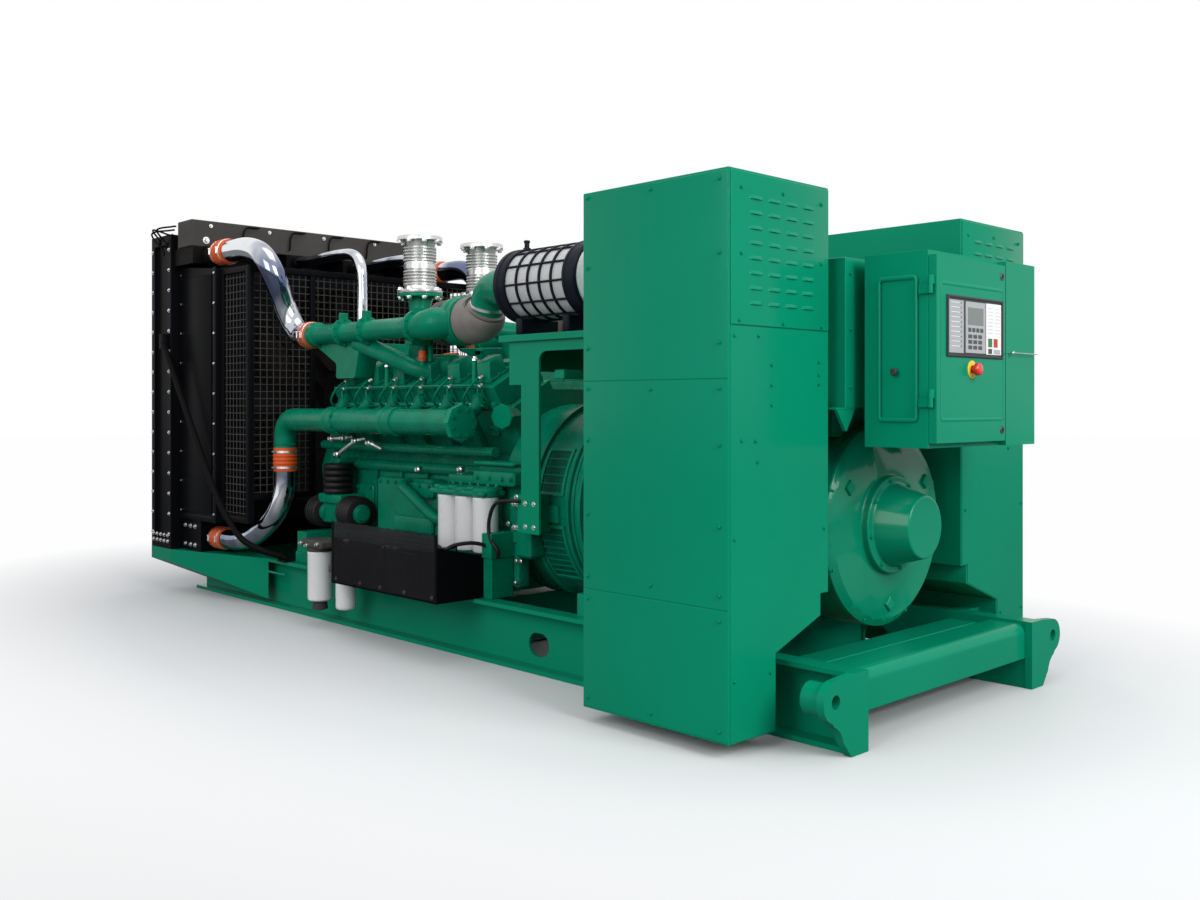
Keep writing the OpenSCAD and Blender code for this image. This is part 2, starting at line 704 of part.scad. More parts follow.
// Compressor housing towards the air cleaner, turbine housing towards the exhaust
module turbo() {
  color(grey) {
    rod_x([turbo_x - 55, -turbo_y, turbo_z], 246, 110);
    rod_x([turbo_x + 55, -turbo_y, turbo_z], 228, bell_l);
    rod_x([turbine_x1, -turbine_y, turbo_z], 120, turbo_x - 55 - turbine_x1);
    rod_x([turbine_x0, -turbine_y, turbo_z], 232, turbine_x1 - turbine_x0);
  }
}
module turbochargers() { both_hands() turbo(); }

bellows_z0 = exhaust_top_z - 305;
module exhaust_elbows() {
  color(green) both_hands() {
    tube(spline([[exhaust_x, -exhaust_y, bellows_z0 - 18], [exhaust_x, -exhaust_y, bellows_z0 - 60],
      [exhaust_x + 60, -exhaust_y - 15, bellows_z0 - 150],
      [exhaust_x + 200, -turbine_y + 90, turbo_z + 5], [turbine_x0 - 110, -turbine_y, turbo_z],
      [turbine_x0 - 55, -turbine_y, turbo_z], [turbine_x0, -turbine_y, turbo_z]], 3),
      exhaust_pipe_d, 16);
    block([exhaust_x - 30, -100, crank_z + 530], [exhaust_x + 50, 0, bellows_z0 - 160]);
    block([exhaust_x - 30, -exhaust_y, bellows_z0 - 220], [exhaust_x + 50, 0, bellows_z0 - 160]);
    block([exhaust_x - 30, -exhaust_y - 30, bellows_z0 - 220],
      [exhaust_x + 50, -exhaust_y + 30, bellows_z0 - 60]);
    translate([exhaust_x, -exhaust_y, bellows_z0 - 18]) cylinder(d = exhaust_flange_d, h = 18);
  }
}

bolt_pcd = 210;
// A bright double bellows with a bolted flange at each end
module bellows() {
  color(bright) translate([exhaust_x, -exhaust_y, bellows_z0]) difference() {
    rotate_extrude() {
      square([exhaust_bore_d / 2 + 6, 305]);
      square([exhaust_flange_d / 2, 16]);
      translate([0, 289]) square([exhaust_flange_d / 2, 16]);
      translate([0, 120]) square([exhaust_bore_d / 2 + 14, 60]);
      for (z0 = [36, 192]) for (i = [0 : 4])
        translate([exhaust_bore_d / 2 + 6, z0 + 16 * i]) circle(r = 8, $fn = 16);
    }
    translate([0, 0, -1]) cylinder(d = exhaust_bore_d, h = 310);
    for (i = [0 : 7]) rotate([0, 0, i * 45 + 22.5]) translate([bolt_pcd / 2, 0, 288])
      cylinder(d = 14, h = 20);
  }
}
module exhaust_bellows() { both_hands() bellows(); }

cleaner_x0 = 530;
inlet_d = 165;
shelf_z = 1400;
shelf_t = 30;
// Cleaner element, end caps, and its inlet elbow to the compressor
module cleaner() {
  color(white) rod_x([cleaner_x0 + 20, -cleaner_y, cleaner_z], cleaner_d - 20, cleaner_l - 40);
  color(black) {
    rod_x([cleaner_x0, -cleaner_y, cleaner_z], cleaner_d, 75);
    rod_x([cleaner_x0 + cleaner_l - 75, -cleaner_y, cleaner_z], cleaner_d, 75);
    for (x = [cleaner_x0 + 90, cleaner_x0 + cleaner_l - 130])
      difference() {
        block([x, -cleaner_y - 90, shelf_z + shelf_t], [x + 40, -cleaner_y + 90, cleaner_z]);
        rod_x([x - 1, -cleaner_y, cleaner_z], cleaner_d - 20, 42);
      }
  }
  inlet_x0 = turbo_x + 55 + bell_l;
  lean = [cleaner_x0 - inlet_x0, turbo_y - cleaner_y, cleaner_z - turbo_z];
  low = [inlet_x0, -turbo_y, turbo_z];
  color(green) difference() {
    coupling(low - 0.3 * lean, low + 1.3 * lean, inlet_d);
    block([inlet_x0 - 200, -900, turbo_z - 300], [inlet_x0, 0, cleaner_z + 300]);
    block([cleaner_x0, -900, turbo_z - 300], [cleaner_x0 + 200, 0, cleaner_z + 300]);
  }
}
module air_cleaners() { both_hands() cleaner(); }

shelf_y1 = 610;
shelf_x0 = cleaner_x0 - 25;
shelf_leg_x = shelf_x0 + 130;
shelf_win_x = shelf_x0 + 248;
shelf_win_l = 330;
shelf_win_z = shelf_z - 46;
shelf_win_r = 45;
shelf_foot_z = crank_z - 105;
// Shelf over the flywheel housing, on a cut plate at each side with two legs
module air_cleaner_shelf() {
  color(green) {
    block([shelf_x0, -shelf_y1, shelf_z], [cab_x0 - 5, shelf_y1, shelf_z + shelf_t]);
    both_hands() translate([0, -shelf_y1 + 34, 0]) rotate([90, 0, 0]) linear_extrude(14)
      difference() {
        union() {
          translate([shelf_x0 + 50, shelf_z - 188]) square([cab_x0 - shelf_x0 - 90, 188]);
          for (x = [shelf_leg_x, shelf_win_x + shelf_win_l])
            translate([x, shelf_foot_z]) square([118, shelf_z - shelf_foot_z]);
        }
        hull() for (dx = [shelf_win_r, shelf_win_l - shelf_win_r])
          translate([shelf_win_x + dx, shelf_win_z - shelf_win_r]) circle(r = shelf_win_r);
        translate([shelf_win_x, shelf_foot_z - 1])
          square([shelf_win_l, shelf_win_z - shelf_win_r - shelf_foot_z + 1]);
      }
    both_hands() for (foot = [[shelf_leg_x - 40, adaptor_r - adaptor_rim],
      [shelf_win_x + shelf_win_l + 20, body_r]])
      difference() {
        block([foot[0], -shelf_y1 + 34, shelf_foot_z], [foot[0] + 80, -foot[1] + 90, crank_z + 60]);
        rod_x([foot[0] - 1, 0, crank_z], 2 * foot[1], 82);
      }
  }
}

module flywheel_housing() {
  color(green) {
    rod_x([block_x1, 0, crank_z], 2 * flywheel_r, flywheel_t);
    both_hands() block([block_x1 + 72, -rail_in_y - 40, crank_z - 230],
      [block_x1 + 140, -flywheel_r + 120, crank_z - 120]);
  }
}

filter_z0 = 455;
filter_h = 255;
module oil_filters() {
  color(green) both_hands() block([block_x1 - 330, -500, filter_z0 + filter_h],
    [block_x1 - 4, -crankcase_y, filter_z0 + filter_h + 45]);
  both_hands() for (i = [0 : 2]) {
    x = block_x1 - 268 + i * 137;
    color(white) translate([x, -560, filter_z0]) cylinder(d = filter_d, h = filter_h);
    color(green) block([x - 68, -625, filter_z0 + filter_h], [x + 69, -480, filter_z0 + filter_h + 45]);
  }
}

fuel_x = -764;
fuel_y = 750;
module fuel_filter() {
  color(white) translate([fuel_x, -fuel_y, 130]) cylinder(d = 125, h = 240);
  color(white) translate([fuel_x + 230, -fuel_y + 10, 110]) cylinder(d = 105, h = 180);
  color(black) {
    translate([fuel_x, -fuel_y, 90]) cylinder(d = 50, h = 40);
    block([fuel_x - 90, -fuel_y - 60, 370], [fuel_x + 110, -fuel_y + 50, 440]);
    block([fuel_x - 60, -fuel_y + 50, rail_h], [fuel_x + 60, -rail_out_y + 60, 440]);
    block([fuel_x + 60, -fuel_y + 60, rail_h], [fuel_x + 280, -rail_out_y + 60, 330]);
    block([fuel_x + 160, -fuel_y - 50, 290], [fuel_x + 280, -fuel_y + 60, 330]);
  }
}

tray_x0 = -455;
tray_x1 = 405;
tray_z0 = rail_h;
tray_y0 = 870;
tray_y1 = 530;
tray_h = 300;
// Open tray with a tall outer wall and end walls that fall towards the engine
module battery_tray() {
  color(black) difference() {
    translate([tray_x0, 0, tray_z0]) rotate([90, 0, 90]) linear_extrude(tray_x1 - tray_x0)
      polygon([[-tray_y0, 0], [-tray_y1, 0], [-tray_y1, 172], [-tray_y0 + 6, 242],
        [-tray_y0 + 6, tray_h], [-tray_y0, tray_h]]);
    block([tray_x0 + 6, -tray_y0 + 6, tray_z0 + 8], [tray_x1 - 6, -tray_y1 - 6, tray_z0 + tray_h + 1]);
  }
}
module batteries() {
  color(black) for (i = [0 : 1])
    block([tray_x0 + 20 + i * 415, -tray_y0 + 20, tray_z0 + 8],
      [tray_x0 + 415 + i * 415, -rail_out_y + 13, tray_z0 + 215]);
}

module engine_mounts() {
  color(green) both_hands() {
    x = block_x0 + 120;
    block([x - 60, -rail_in_y - 35, rail_h], [x + 60, -rail_in_y + 90, rail_h + 60]);
    block([x - 50, -rail_in_y - 30, rail_h + 60], [x + 50, -crankcase_y, rail_h + 170]);
    block([block_x1 + 76, -rail_in_y - 35, rail_h], [block_x1 + 136, -rail_in_y + 90, crank_z - 230]);
  }
}

// ---------------------------------------------------------------- alternator

module alternator_adaptor() {
  color(green) difference() {
    union() {
      rod_x([adaptor_x0, 0, crank_z], 2 * (adaptor_r - adaptor_rim), adaptor_l);
      rod_x([adaptor_x0, 0, crank_z], 2 * adaptor_r, 26);
      rod_x([adaptor_x1 - 26, 0, crank_z], 2 * adaptor_r, 26);
    }
    block([adaptor_x0 - 1, -700, 0], [adaptor_x1 + 1, 700, rail_h]);
  }
}

body_end_l = 200;
module alternator_body() {
  color(green) {
    rod_x([adaptor_x1, 0, crank_z], 2 * body_r, body_x1 - body_end_l - adaptor_x1);
    rod_x([body_x1 - body_end_l, 0, crank_z], 2 * end_disc_r, body_end_l);
    both_hands() for (x = [adaptor_x1 + 120, body_x1 - body_end_l - 160])
      block([x, -rail_in_y - 20, rail_h], [x + 160, -body_r + 130, rail_h + 90]);
    block([cab_x0 + 60, -250, crank_z + body_r - 100], [body_x1 - 20, 250, term_z]);
  }
}

module alternator_end_cover() {
  color(green) translate([body_x1, 0, crank_z]) rotate([0, 90, 0]) rotate_extrude()
    polygon([[0, 0], [end_disc_r, 0], [end_disc_r, 40], [end_disc_r - 30, 62], [184, 62],
      [184, 92], [156, 92], [116, 92 + cone_l], [0, 92 + cone_l]]);
}

module terminal_box() {
  color(green) {
    block([cab_x0, -term_w / 2, term_z], [term_x1, term_w / 2, term_z + term_h]);
    both_hands() block([cab_x0 + 120, -cab_in_y, term_z + 40],
      [cab_x1 - 60, -term_w / 2, term_z + term_h - 60]);
    for (y = [-250, 250]) for (z = [term_z + 60, term_z + 460])
      rod_x([term_x1, y, z], 50, box_gap);
  }
}

// ---------------------------------------------------------------- cabinets

module cabinet() {
  color(green) for (x = [cab_x0 + 80, cab_x1 - 140])
    block([x, -760, rail_h - 75], [x + 60, -rail_out_y, rail_h]);
  color(green) translate([cab_x0, 0, 0]) rotate([90, 0, 90]) linear_extrude(cab_l)
    polygon([[-cab_in_y, cab_seam_z], [-cab_in_y - 45, cab_seam_z], [-cab_in_y - 45, 400],
      [-757, 306], [-757, cab_z], [-cab_out_y, cab_z], [-cab_out_y, cab_top_z],
      [-cab_in_y, cab_top_z]]);
}
module power_cabinet_left() { cabinet(); }
module power_cabinet_right() { right_hand() cabinet(); }

module cabinet_louvre_panels() {
  z0 = cab_top_z - 499;
  color(green) both_hands() difference() {
    block([cab_x1, -cab_out_y + 6, z0], [cab_x1 + louvre_t, -cab_in_y - 6, cab_top_z - 8]);
    for (i = [0 : 2]) for (k = [0 : 3])
      block([cab_x1 - 1, -cab_out_y + 100 + 93 * k, z0 + 90 + 110 * i],
        [cab_x1 + louvre_t + 1, -cab_out_y + 172 + 93 * k, z0 + 98 + 110 * i]);
  }
}

// ---------------------------------------------------------------- control box

hinge_x = box_x1 + door_t / 2;
hinge_y = box_y0 - hinge_d / 2 - 1;
hinge_zs = [door_z0 + 120, door_z0 + 500];
pin_d = 8;
pin_clear = 0.05;
lip = 20;
// Welded sheet box; the left half of its front is the door's opening
module control_box() {
  door_y1 = door_y0 + door_w;
  color(green) {
    difference() {
      block([box_x0, box_y0, box_z], [door_x1, box_y1, box_z + box_h]);
      block([box_x0 + box_t, box_y0 + box_t, box_z + box_t],
        [box_x1 - box_t, box_y1 - box_t, box_z + box_h - box_t]);
      block([box_x1 - lip, door_y0 + lip, door_z0 + lip],
        [box_x1 + 1, door_y1 - lip, door_z0 + door_h - lip]);
      block([box_x1, box_y0 - 1, box_z - 1], [door_x1 + 1, door_y1 + 5, box_z + box_h + 1]);
    }
    for (z = hinge_zs) {
      block([box_x1 - 30, hinge_y - 2, z], [hinge_x, box_y0, z + hinge_l / 2]);
      translate([hinge_x, hinge_y, z]) cylinder(d = hinge_d, h = hinge_l / 2);
      translate([hinge_x, hinge_y, z]) cylinder(d = pin_d, h = hinge_l);
    }
  }
}

module control_door() {
  color(green) difference() {
    union() {
      difference() {
        block([box_x1 + 1, door_y0, door_z0], [door_x1, door_y0 + door_w, door_z0 + door_h]);
        block([box_x1, door_y0 + 4, door_z0 + 4],
          [door_x1 - 4, door_y0 + door_w - 4, door_z0 + door_h - 4]);
      }
      for (z = hinge_zs) {
        block([hinge_x, hinge_y - 2, z + hinge_l / 2 + 0.3],
          [hinge_x + 8, door_y0 + 2, z + hinge_l + 0.3]);
        translate([hinge_x, hinge_y, z + hinge_l / 2 + 0.3]) cylinder(d = hinge_d, h = hinge_l / 2);
      }
    }
    for (z = hinge_zs)
      translate([hinge_x, hinge_y, z]) cylinder(d = pin_d + 2 * pin_clear, h = hinge_l + 1);
    rod_x([box_x1, stop_y, stop_z], stop_hole_d, door_t + 10);
    block([box_x1, panel_y0, panel_z0], [door_x1 + 1, panel_y0 + panel_w, panel_z0 + panel_h]);
  }
}

panel_y0 = door_y0 + 62;
panel_w = 396;
panel_h = 210;
panel_z0 = door_z0 + 291;
stop_y = door_y0 + 236;
stop_z = door_z0 + 251;
stop_ring_t = 3;
stop_ring_d = 62;
stop_hole_d = stop_d - 10;
// Operator panel in the door, and the ring under the stop button
module control_panel() {
  color(black) block([box_x1 + 3, panel_y0, panel_z0],
    [door_x1 + 3, panel_y0 + panel_w, panel_z0 + panel_h]);
  color("yellow") difference() {
    rod_x([door_x1, stop_y, stop_z], stop_ring_d, stop_ring_t);
    rod_x([door_x1 - 1, stop_y, stop_z], stop_hole_d, stop_ring_t + 2);
  }
}
module stop_button() {
  head_x = door_x1 + stop_ring_t + stop_travel + 5;
  color("red") {
    rod_x([head_x, stop_y, stop_z], stop_d, door_x1 + stop_out - head_x);
    rod_x([box_x1 + stop_travel + 4, stop_y, stop_z], stop_hole_d - 6, head_x - box_x1 - stop_travel - 4);
  }
}

skid_rails();
skid_cross_members();
skid_end_beam();
lifting_lugs();
radiator_outriggers();
radiator_frame();
radiator_core();
radiator_top_tank();
radiator_bottom_tank();
radiator_pipe_ports();
fan_shroud();
fan_guard_sides();
fan_guard_back();
fan();
radiator_braces();
engine_block();
oil_pan();
front_gear_cover();
accessory_drive();
cylinder_heads();
rocker_covers();
coolant_manifolds();
coolant_pipes();
charge_air_ducts();
charge_air_pipes();
thermostat_pipes();
thermostat_housing();
hose_couplings();
turbochargers();
exhaust_elbows();
exhaust_bellows();
air_cleaners();
air_cleaner_shelf();
flywheel_housing();
oil_filters();
fuel_filter();
battery_tray();
batteries();
engine_mounts();
alternator_adaptor();
alternator_body();
alternator_end_cover();
terminal_box();
power_cabinet_left();
power_cabinet_right();
cabinet_louvre_panels();
control_box();
control_door();
control_panel();
stop_button();
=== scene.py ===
import json
import math

import bmesh
import bpy
import numpy as np
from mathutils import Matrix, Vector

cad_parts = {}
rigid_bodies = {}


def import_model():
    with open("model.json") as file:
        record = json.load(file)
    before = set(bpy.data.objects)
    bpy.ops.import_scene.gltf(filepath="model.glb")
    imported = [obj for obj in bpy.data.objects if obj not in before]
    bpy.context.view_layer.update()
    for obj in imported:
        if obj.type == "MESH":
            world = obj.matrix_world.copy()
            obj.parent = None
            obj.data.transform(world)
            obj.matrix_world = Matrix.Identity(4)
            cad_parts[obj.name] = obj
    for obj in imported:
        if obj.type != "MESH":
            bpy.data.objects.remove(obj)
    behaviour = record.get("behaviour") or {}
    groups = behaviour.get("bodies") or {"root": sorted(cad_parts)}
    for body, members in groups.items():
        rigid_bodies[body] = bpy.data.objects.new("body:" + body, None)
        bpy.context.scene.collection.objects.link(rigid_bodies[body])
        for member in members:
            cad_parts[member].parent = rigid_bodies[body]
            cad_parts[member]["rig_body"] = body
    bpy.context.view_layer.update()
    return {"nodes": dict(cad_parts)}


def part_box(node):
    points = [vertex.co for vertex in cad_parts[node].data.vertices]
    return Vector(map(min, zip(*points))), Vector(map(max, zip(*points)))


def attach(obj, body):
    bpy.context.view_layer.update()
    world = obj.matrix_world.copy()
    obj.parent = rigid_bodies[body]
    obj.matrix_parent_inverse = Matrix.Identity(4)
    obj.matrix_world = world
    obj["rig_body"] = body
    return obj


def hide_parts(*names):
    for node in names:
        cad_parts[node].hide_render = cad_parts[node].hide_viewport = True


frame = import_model()

# The camera stands off the alternator end's left corner at about chest height and
# looks level across the set.
view_yaw = math.radians(45.946)
camera_data = bpy.data.cameras.new("camera")
camera_data.sensor_width = 36.0
camera_data.lens = 34.55
camera_data.shift_y = -0.0377
camera_data.clip_end = 200.0
camera = bpy.data.objects.new("camera", camera_data)
camera.location = (4.4597, -3.8136, 1.1264)
camera.rotation_euler = (math.pi / 2, 0, view_yaw)
bpy.context.scene.collection.objects.link(camera)
bpy.context.scene.camera = camera


# ------------------------------------------------------------------ stage
# A pale floor that fades to white far off, an even sky and three square lamps: one
# past the alternator's end, one at the near side and a faint one above.


class Value:
    """A socket in a material; sums and products of it add Math nodes."""

    def __init__(self, finish, socket):
        self.finish = finish
        self.socket = socket

    def maths(self, operation, *inputs, clamp=False):
        """The value that one Math node gives for its inputs."""
        settings = {"operation": operation, "use_clamp": clamp}
        return self.finish.node("ShaderNodeMath", settings, dict(enumerate(inputs)))

    def __add__(self, other):
        return self.maths("ADD", self, other)

    def __sub__(self, other):
        return self.maths("SUBTRACT", self, other)

    def __rsub__(self, other):
        return self.maths("SUBTRACT", other, self)

    def __mul__(self, other):
        return self.maths("MULTIPLY", self, other)

    def __truediv__(self, other):
        return self.maths("DIVIDE", self, other)

    def __gt__(self, other):
        return self.maths("GREATER_THAN", self, other)

    __radd__ = __add__
    __rmul__ = __mul__

    def clamped(self):
        """This value, held between 0 and 1."""
        return self.maths("ADD", self, 0.0, clamp=True)

    def wave(self, turns):
        """Sine of this value times a number of turns, from -1 to 1."""
        return self.maths("SINE", self * (2 * math.pi * turns))


class Finish:
    """A procedural material: node() adds any node, constants go on the shader."""

    def __init__(self, name, **constants):
        self.material = bpy.data.materials.new(name)
        self.material.use_nodes = True
        self.tree = self.material.node_tree
        self.shader = self.tree.nodes["Principled BSDF"]
        for socket, value in constants.items():
            self.shader.inputs[socket.replace("_", " ")].default_value = value

    def node(self, kind, settings=None, inputs=None, output=0):
        """Adds a node, sets it, feeds its sockets and gives one of its outputs."""
        node = self.tree.nodes.new(kind)
        for key, value in (settings or {}).items():
            setattr(node, key, value)
        for key, value in (inputs or {}).items():
            if isinstance(value, Value):
                self.tree.links.new(value.socket, node.inputs[key])
            else:
                node.inputs[key].default_value = value
        return Value(self, node.outputs[output])

    def place(self):
        """The place on the set in metres, as a vector."""
        return self.node("ShaderNodeTexCoord", output="Object")

    def axes(self):
        """The x, y and z of the place, as three values."""
        split = self.node("ShaderNodeSeparateXYZ", inputs={0: self.place()})
        outputs = split.socket.node.outputs
        return [Value(self, outputs[k]) for k in range(3)]

    def noise(self, scale, detail=3.0, rough=0.5, stretch=None):
        """Soft patches, about this many to a metre, stretched along the axes if asked."""
        spot = self.place()
        if stretch:
            spot = self.node("ShaderNodeVectorMath", {"operation": "MULTIPLY"}, {0: spot, 1: stretch})
        return self.node("ShaderNodeTexNoise", None,
                         {"Vector": spot, "Scale": scale, "Detail": detail, "Roughness": rough})

    def blend(self, amount, low, high):
        """A colour that goes from low to high with the amount."""
        return self.node("ShaderNodeMix", {"data_type": "RGBA"},
                         {0: amount, 6: (*low, 1.0) if isinstance(low, tuple) else low,
                          7: (*high, 1.0) if isinstance(high, tuple) else high}, output=2)

    def feed(self, **values):
        """Links values to the shader's sockets of these names."""
        for socket, value in values.items():
            self.tree.links.new(value.socket, self.shader.inputs[socket.replace("_", " ")])

    def relief(self, height, strength, depth=0.001):
        """Raises the surface in the light by a height, at most by a depth."""
        self.feed(Normal=self.node("ShaderNodeBump", None,
                                   {"Strength": strength, "Distance": depth, "Height": height}))


floor_white, floor_grey = (0.99, 0.99, 0.99), (0.845, 0.850, 0.862)
floor_dull, floor_low, floor_high = (0.20, 0.203, 0.206), (0.655, 0.66, 0.667), (0.68, 0.685, 0.692)
floor_radius = 40.0
oval_long, oval_wide = 3.3, 1.9
fade_start, fade_width = 0.9, 0.6
floor_finish = Finish("pale_floor", Roughness=0.6, Specular_IOR_Level=0.2)
floor_x, floor_y, _ = floor_finish.axes()
# Far is one on an oval round the set. From a little inside it the floor fades to
# plain light, and near is a faint shade on the ground off the alternator's near corner.
along = floor_x / oval_long
aside = floor_y / oval_wide
reach = along * along + aside * aside
far = reach.maths("SQRT", reach)
seen = floor_finish.node("ShaderNodeLightPath", output="Is Camera Ray")
fade = ((far - fade_start) / fade_width).clamped() * seen
near = ((floor_x * 0.72 - floor_y * 0.69 - 1.2) / 2.6).clamped() * (1 - ((far - 2.0) / 1.6).clamped())
pale = floor_finish.blend(near, floor_white, floor_grey)
plain = floor_finish.node("ShaderNodeEmission", None, {"Color": pale, "Strength": 1.0})
drift = floor_finish.blend(floor_finish.noise(0.5), floor_low, floor_high)
floor_finish.feed(Base_Color=floor_finish.blend(seen, floor_dull, drift))
mixed = floor_finish.node("ShaderNodeMixShader", None, {0: fade, 2: plain})
floor_finish.tree.links.new(floor_finish.shader.outputs[0], mixed.socket.node.inputs[1])
output = floor_finish.tree.nodes["Material Output"]
floor_finish.tree.links.new(mixed.socket, output.inputs[0])
floor_turn = 2 * np.pi * np.arange(64) / 64
floor_ring = np.stack([np.cos(floor_turn), np.sin(floor_turn), 0 * floor_turn], -1)
floor_mesh = bpy.data.meshes.new("floor")
floor_mesh.from_pydata((floor_radius * floor_ring - (0, 0, 0.001)).tolist(), [], [list(range(64))])
floor_mesh.materials.append(floor_finish.material)
floor = bpy.data.objects.new("floor", floor_mesh)
bpy.context.scene.collection.objects.link(floor)

bpy.context.scene.view_settings.view_transform = "Standard"
sky = bpy.data.worlds.new("sky")
bpy.context.scene.world = sky
sky.use_nodes = True
sky_tree = sky.node_tree
sky_light = sky_tree.nodes["Background"]
sky_light.inputs["Color"].default_value = (0.93, 0.96, 1.0, 1.0)
sky_light.inputs["Strength"].default_value = 0.72
sky_seen = sky_tree.nodes.new("ShaderNodeBackground")
sky_seen.inputs["Color"].default_value = (1, 1, 1, 1)
sky_seen.inputs["Strength"].default_value = 1.0
sky_path = sky_tree.nodes.new("ShaderNodeLightPath")
sky_white = sky_path.outputs["Is Camera Ray"]
for ray in ("Is Transmission Ray", "Is Glossy Ray"):
    either = sky_tree.nodes.new("ShaderNodeMath")
    either.operation = "MAXIMUM"
    sky_tree.links.new(sky_white, either.inputs[0])
    sky_tree.links.new(sky_path.outputs[ray], either.inputs[1])
    sky_white = either.outputs[0]
sky_mix = sky_tree.nodes.new("ShaderNodeMixShader")
sky_tree.links.new(sky_white, sky_mix.inputs[0])
sky_tree.links.new(sky_light.outputs[0], sky_mix.inputs[1])
sky_tree.links.new(sky_seen.outputs[0], sky_mix.inputs[2])
sky_tree.links.new(sky_mix.outputs[0], sky_tree.nodes["World Output"].inputs[0])


def lamp(name, place, target, size, watts):
    """A square lamp at a place, turned to face a target."""
    data = bpy.data.lights.new(name, "AREA")
    data.size = size
    data.energy = watts
    item = bpy.data.objects.new(name, data)
    item.location = place
    look = np.subtract(target, place)
    item.rotation_euler = (math.atan2(math.hypot(look[0], look[1]), -look[2]), 0,
                           math.atan2(look[1], look[0]) - math.pi / 2)
    bpy.context.scene.collection.objects.link(item)


lamp("lamp_end", (8.0, -0.8, 4.4), (0.8, 0, 1.0), 4.0, 440)
lamp("lamp_side", (2.0, -7.2, 3.8), (0.0, 0, 1.0), 4.5, 250)
lamp("lamp_top", (0.0, 0.5, 6.5), (0, 0, 1.0), 4.0, 90)


# ------------------------------------------------------------------ skid
# The base is two folded steel channels with box members across, a beam at the
# alternator end, a deck under the radiator and bored lifting plates, all welded.


def sheet_paint(name, colour, gloss=0.13, shine=0.3):
    """Baked gloss on flat sheet: a slow drift of tone and a fine orange peel."""
    paint = Finish(name, Specular_IOR_Level=shine)
    drift = paint.noise(1.3, 2.0)
    deep = tuple(0.88 * c for c in colour)
    light = tuple(1.12 * c for c in colour)
    paint.feed(Base_Color=paint.blend(drift, deep, light),
               Roughness=paint.noise(7.0, 4.0) * 0.12 + gloss)
    paint.relief(paint.noise(160.0, 1.0), 0.05, 0.0006)
    return paint.material


def both(low_y):
    """The same points on the other side of the middle plane, rings kept outward."""
    other = low_y * np.array([1.0, -1.0, 1.0])
    return other[:, ::-1]


class Piece:
    """Gathers grids of points into one mesh, and makes it an object of the scene.

    A grid is stations by ring: point [i, j] is station i along the piece and place j
    round it. Rings run anticlockwise seen from the far end, so faces point outwards.
    """

    def __init__(self, name):
        self.name = name
        self.points = []
        self.faces = []
        self.count = 0

    def grid(self, points, loop=False, caps=True):
        """Joins neighbouring points with four-sided faces and closes both ends."""
        stations, places = points.shape[:2]
        index = self.count + np.arange(stations * places).reshape(stations, places)
        here = np.concatenate([index, index[:1]]) if loop else index
        here = np.concatenate([here, here[:, :1]], axis=1)
        quads = np.stack([here[:-1, :-1], here[:-1, 1:], here[1:, 1:], here[1:, :-1]], -1)
        self.faces += quads.reshape(-1, 4).tolist()
        if caps and not loop:
            self.faces += [index[0, ::-1].tolist(), index[-1].tolist()]
        self.points.append(points.reshape(-1, 3))
        self.count += stations * places
        return self

    def pair(self, *shapes, caps=True):
        """Adds each shape and its like on the other side of the middle plane."""
        for shape in shapes:
            self.grid(shape, caps=caps).grid(both(shape), caps=caps)
        return self

    def make(self, material, slot, body="genset", replaces=(), sharp=32):
        """The finished piece: smooth but for edges sharper than the angle given."""
        mesh = bpy.data.meshes.new(self.name)
        mesh.from_pydata(np.concatenate(self.points).tolist(), [], self.faces)
        mesh.polygons.foreach_set("use_smooth", [True] * len(mesh.polygons))
        mesh.set_sharp_from_angle(angle=math.radians(sharp))
        mesh.materials.append(material)
        item = bpy.data.objects.new(self.name, mesh)
        bpy.context.scene.collection.objects.link(item)
        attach(item, body)
        if replaces:
            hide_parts(*replaces)


def unit(v):
    """Vectors divided by their lengths."""
    v = np.asarray(v, float)
    return v / np.linalg.norm(v, axis=-1, keepdims=True)


def across(direction):
    """Two unit vectors at right angles to a direction, right-handed with it."""
    direction = unit(direction)
    guide = np.array([0.0, 0.0, 1.0]) if abs(direction[2]) < 0.9 else np.array([1.0, 0.0, 0.0])
    side = unit(np.cross(guide, direction))
    return side, np.cross(direction, side)


def softened(node, material, width=0.0025, segments=2):
    """A copy of a frame node with its doubles merged, its flats joined and every
    sharp edge rounded, as brake-pressed and cast edges are."""
    source = frame["nodes"][node]
    mesh = source.data.copy()
    mesh.name = node + "_shell"
    build = bmesh.new()
    build.from_mesh(mesh)
    bmesh.ops.remove_doubles(build, verts=build.verts, dist=1e-5)
    bmesh.ops.dissolve_limit(build, angle_limit=math.radians(1.0), verts=build.verts,
                             edges=build.edges, use_dissolve_boundaries=False)
    build.to_mesh(mesh)
    build.free()
    mesh.materials.clear()
    mesh.materials.append(material)
    mesh.polygons.foreach_set("use_smooth", [True] * len(mesh.polygons))
    mesh.set_sharp_from_angle(angle=math.radians(28))
    item = bpy.data.objects.new(node + "_shell", mesh)
    bpy.context.scene.collection.objects.link(item)
    edge = item.modifiers.new("edge", "BEVEL")
    edge.width = width
    edge.segments = segments
    edge.limit_method = "ANGLE"
    edge.angle_limit = math.radians(40)
    edge.harden_normals = True
    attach(item, source["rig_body"])
    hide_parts(node)


green = (0.0015, 0.215, 0.115)
sheet_green = sheet_paint("sheet_green", green, 0.13, 0.07)
for skid_node in ("skid_rails", "skid_cross_members", "radiator_outriggers"):
    softened(skid_node, sheet_green, 0.003)
softened("skid_end_beam", sheet_green, 0.006, 3)
softened("lifting_lugs", sheet_green, 0.003)


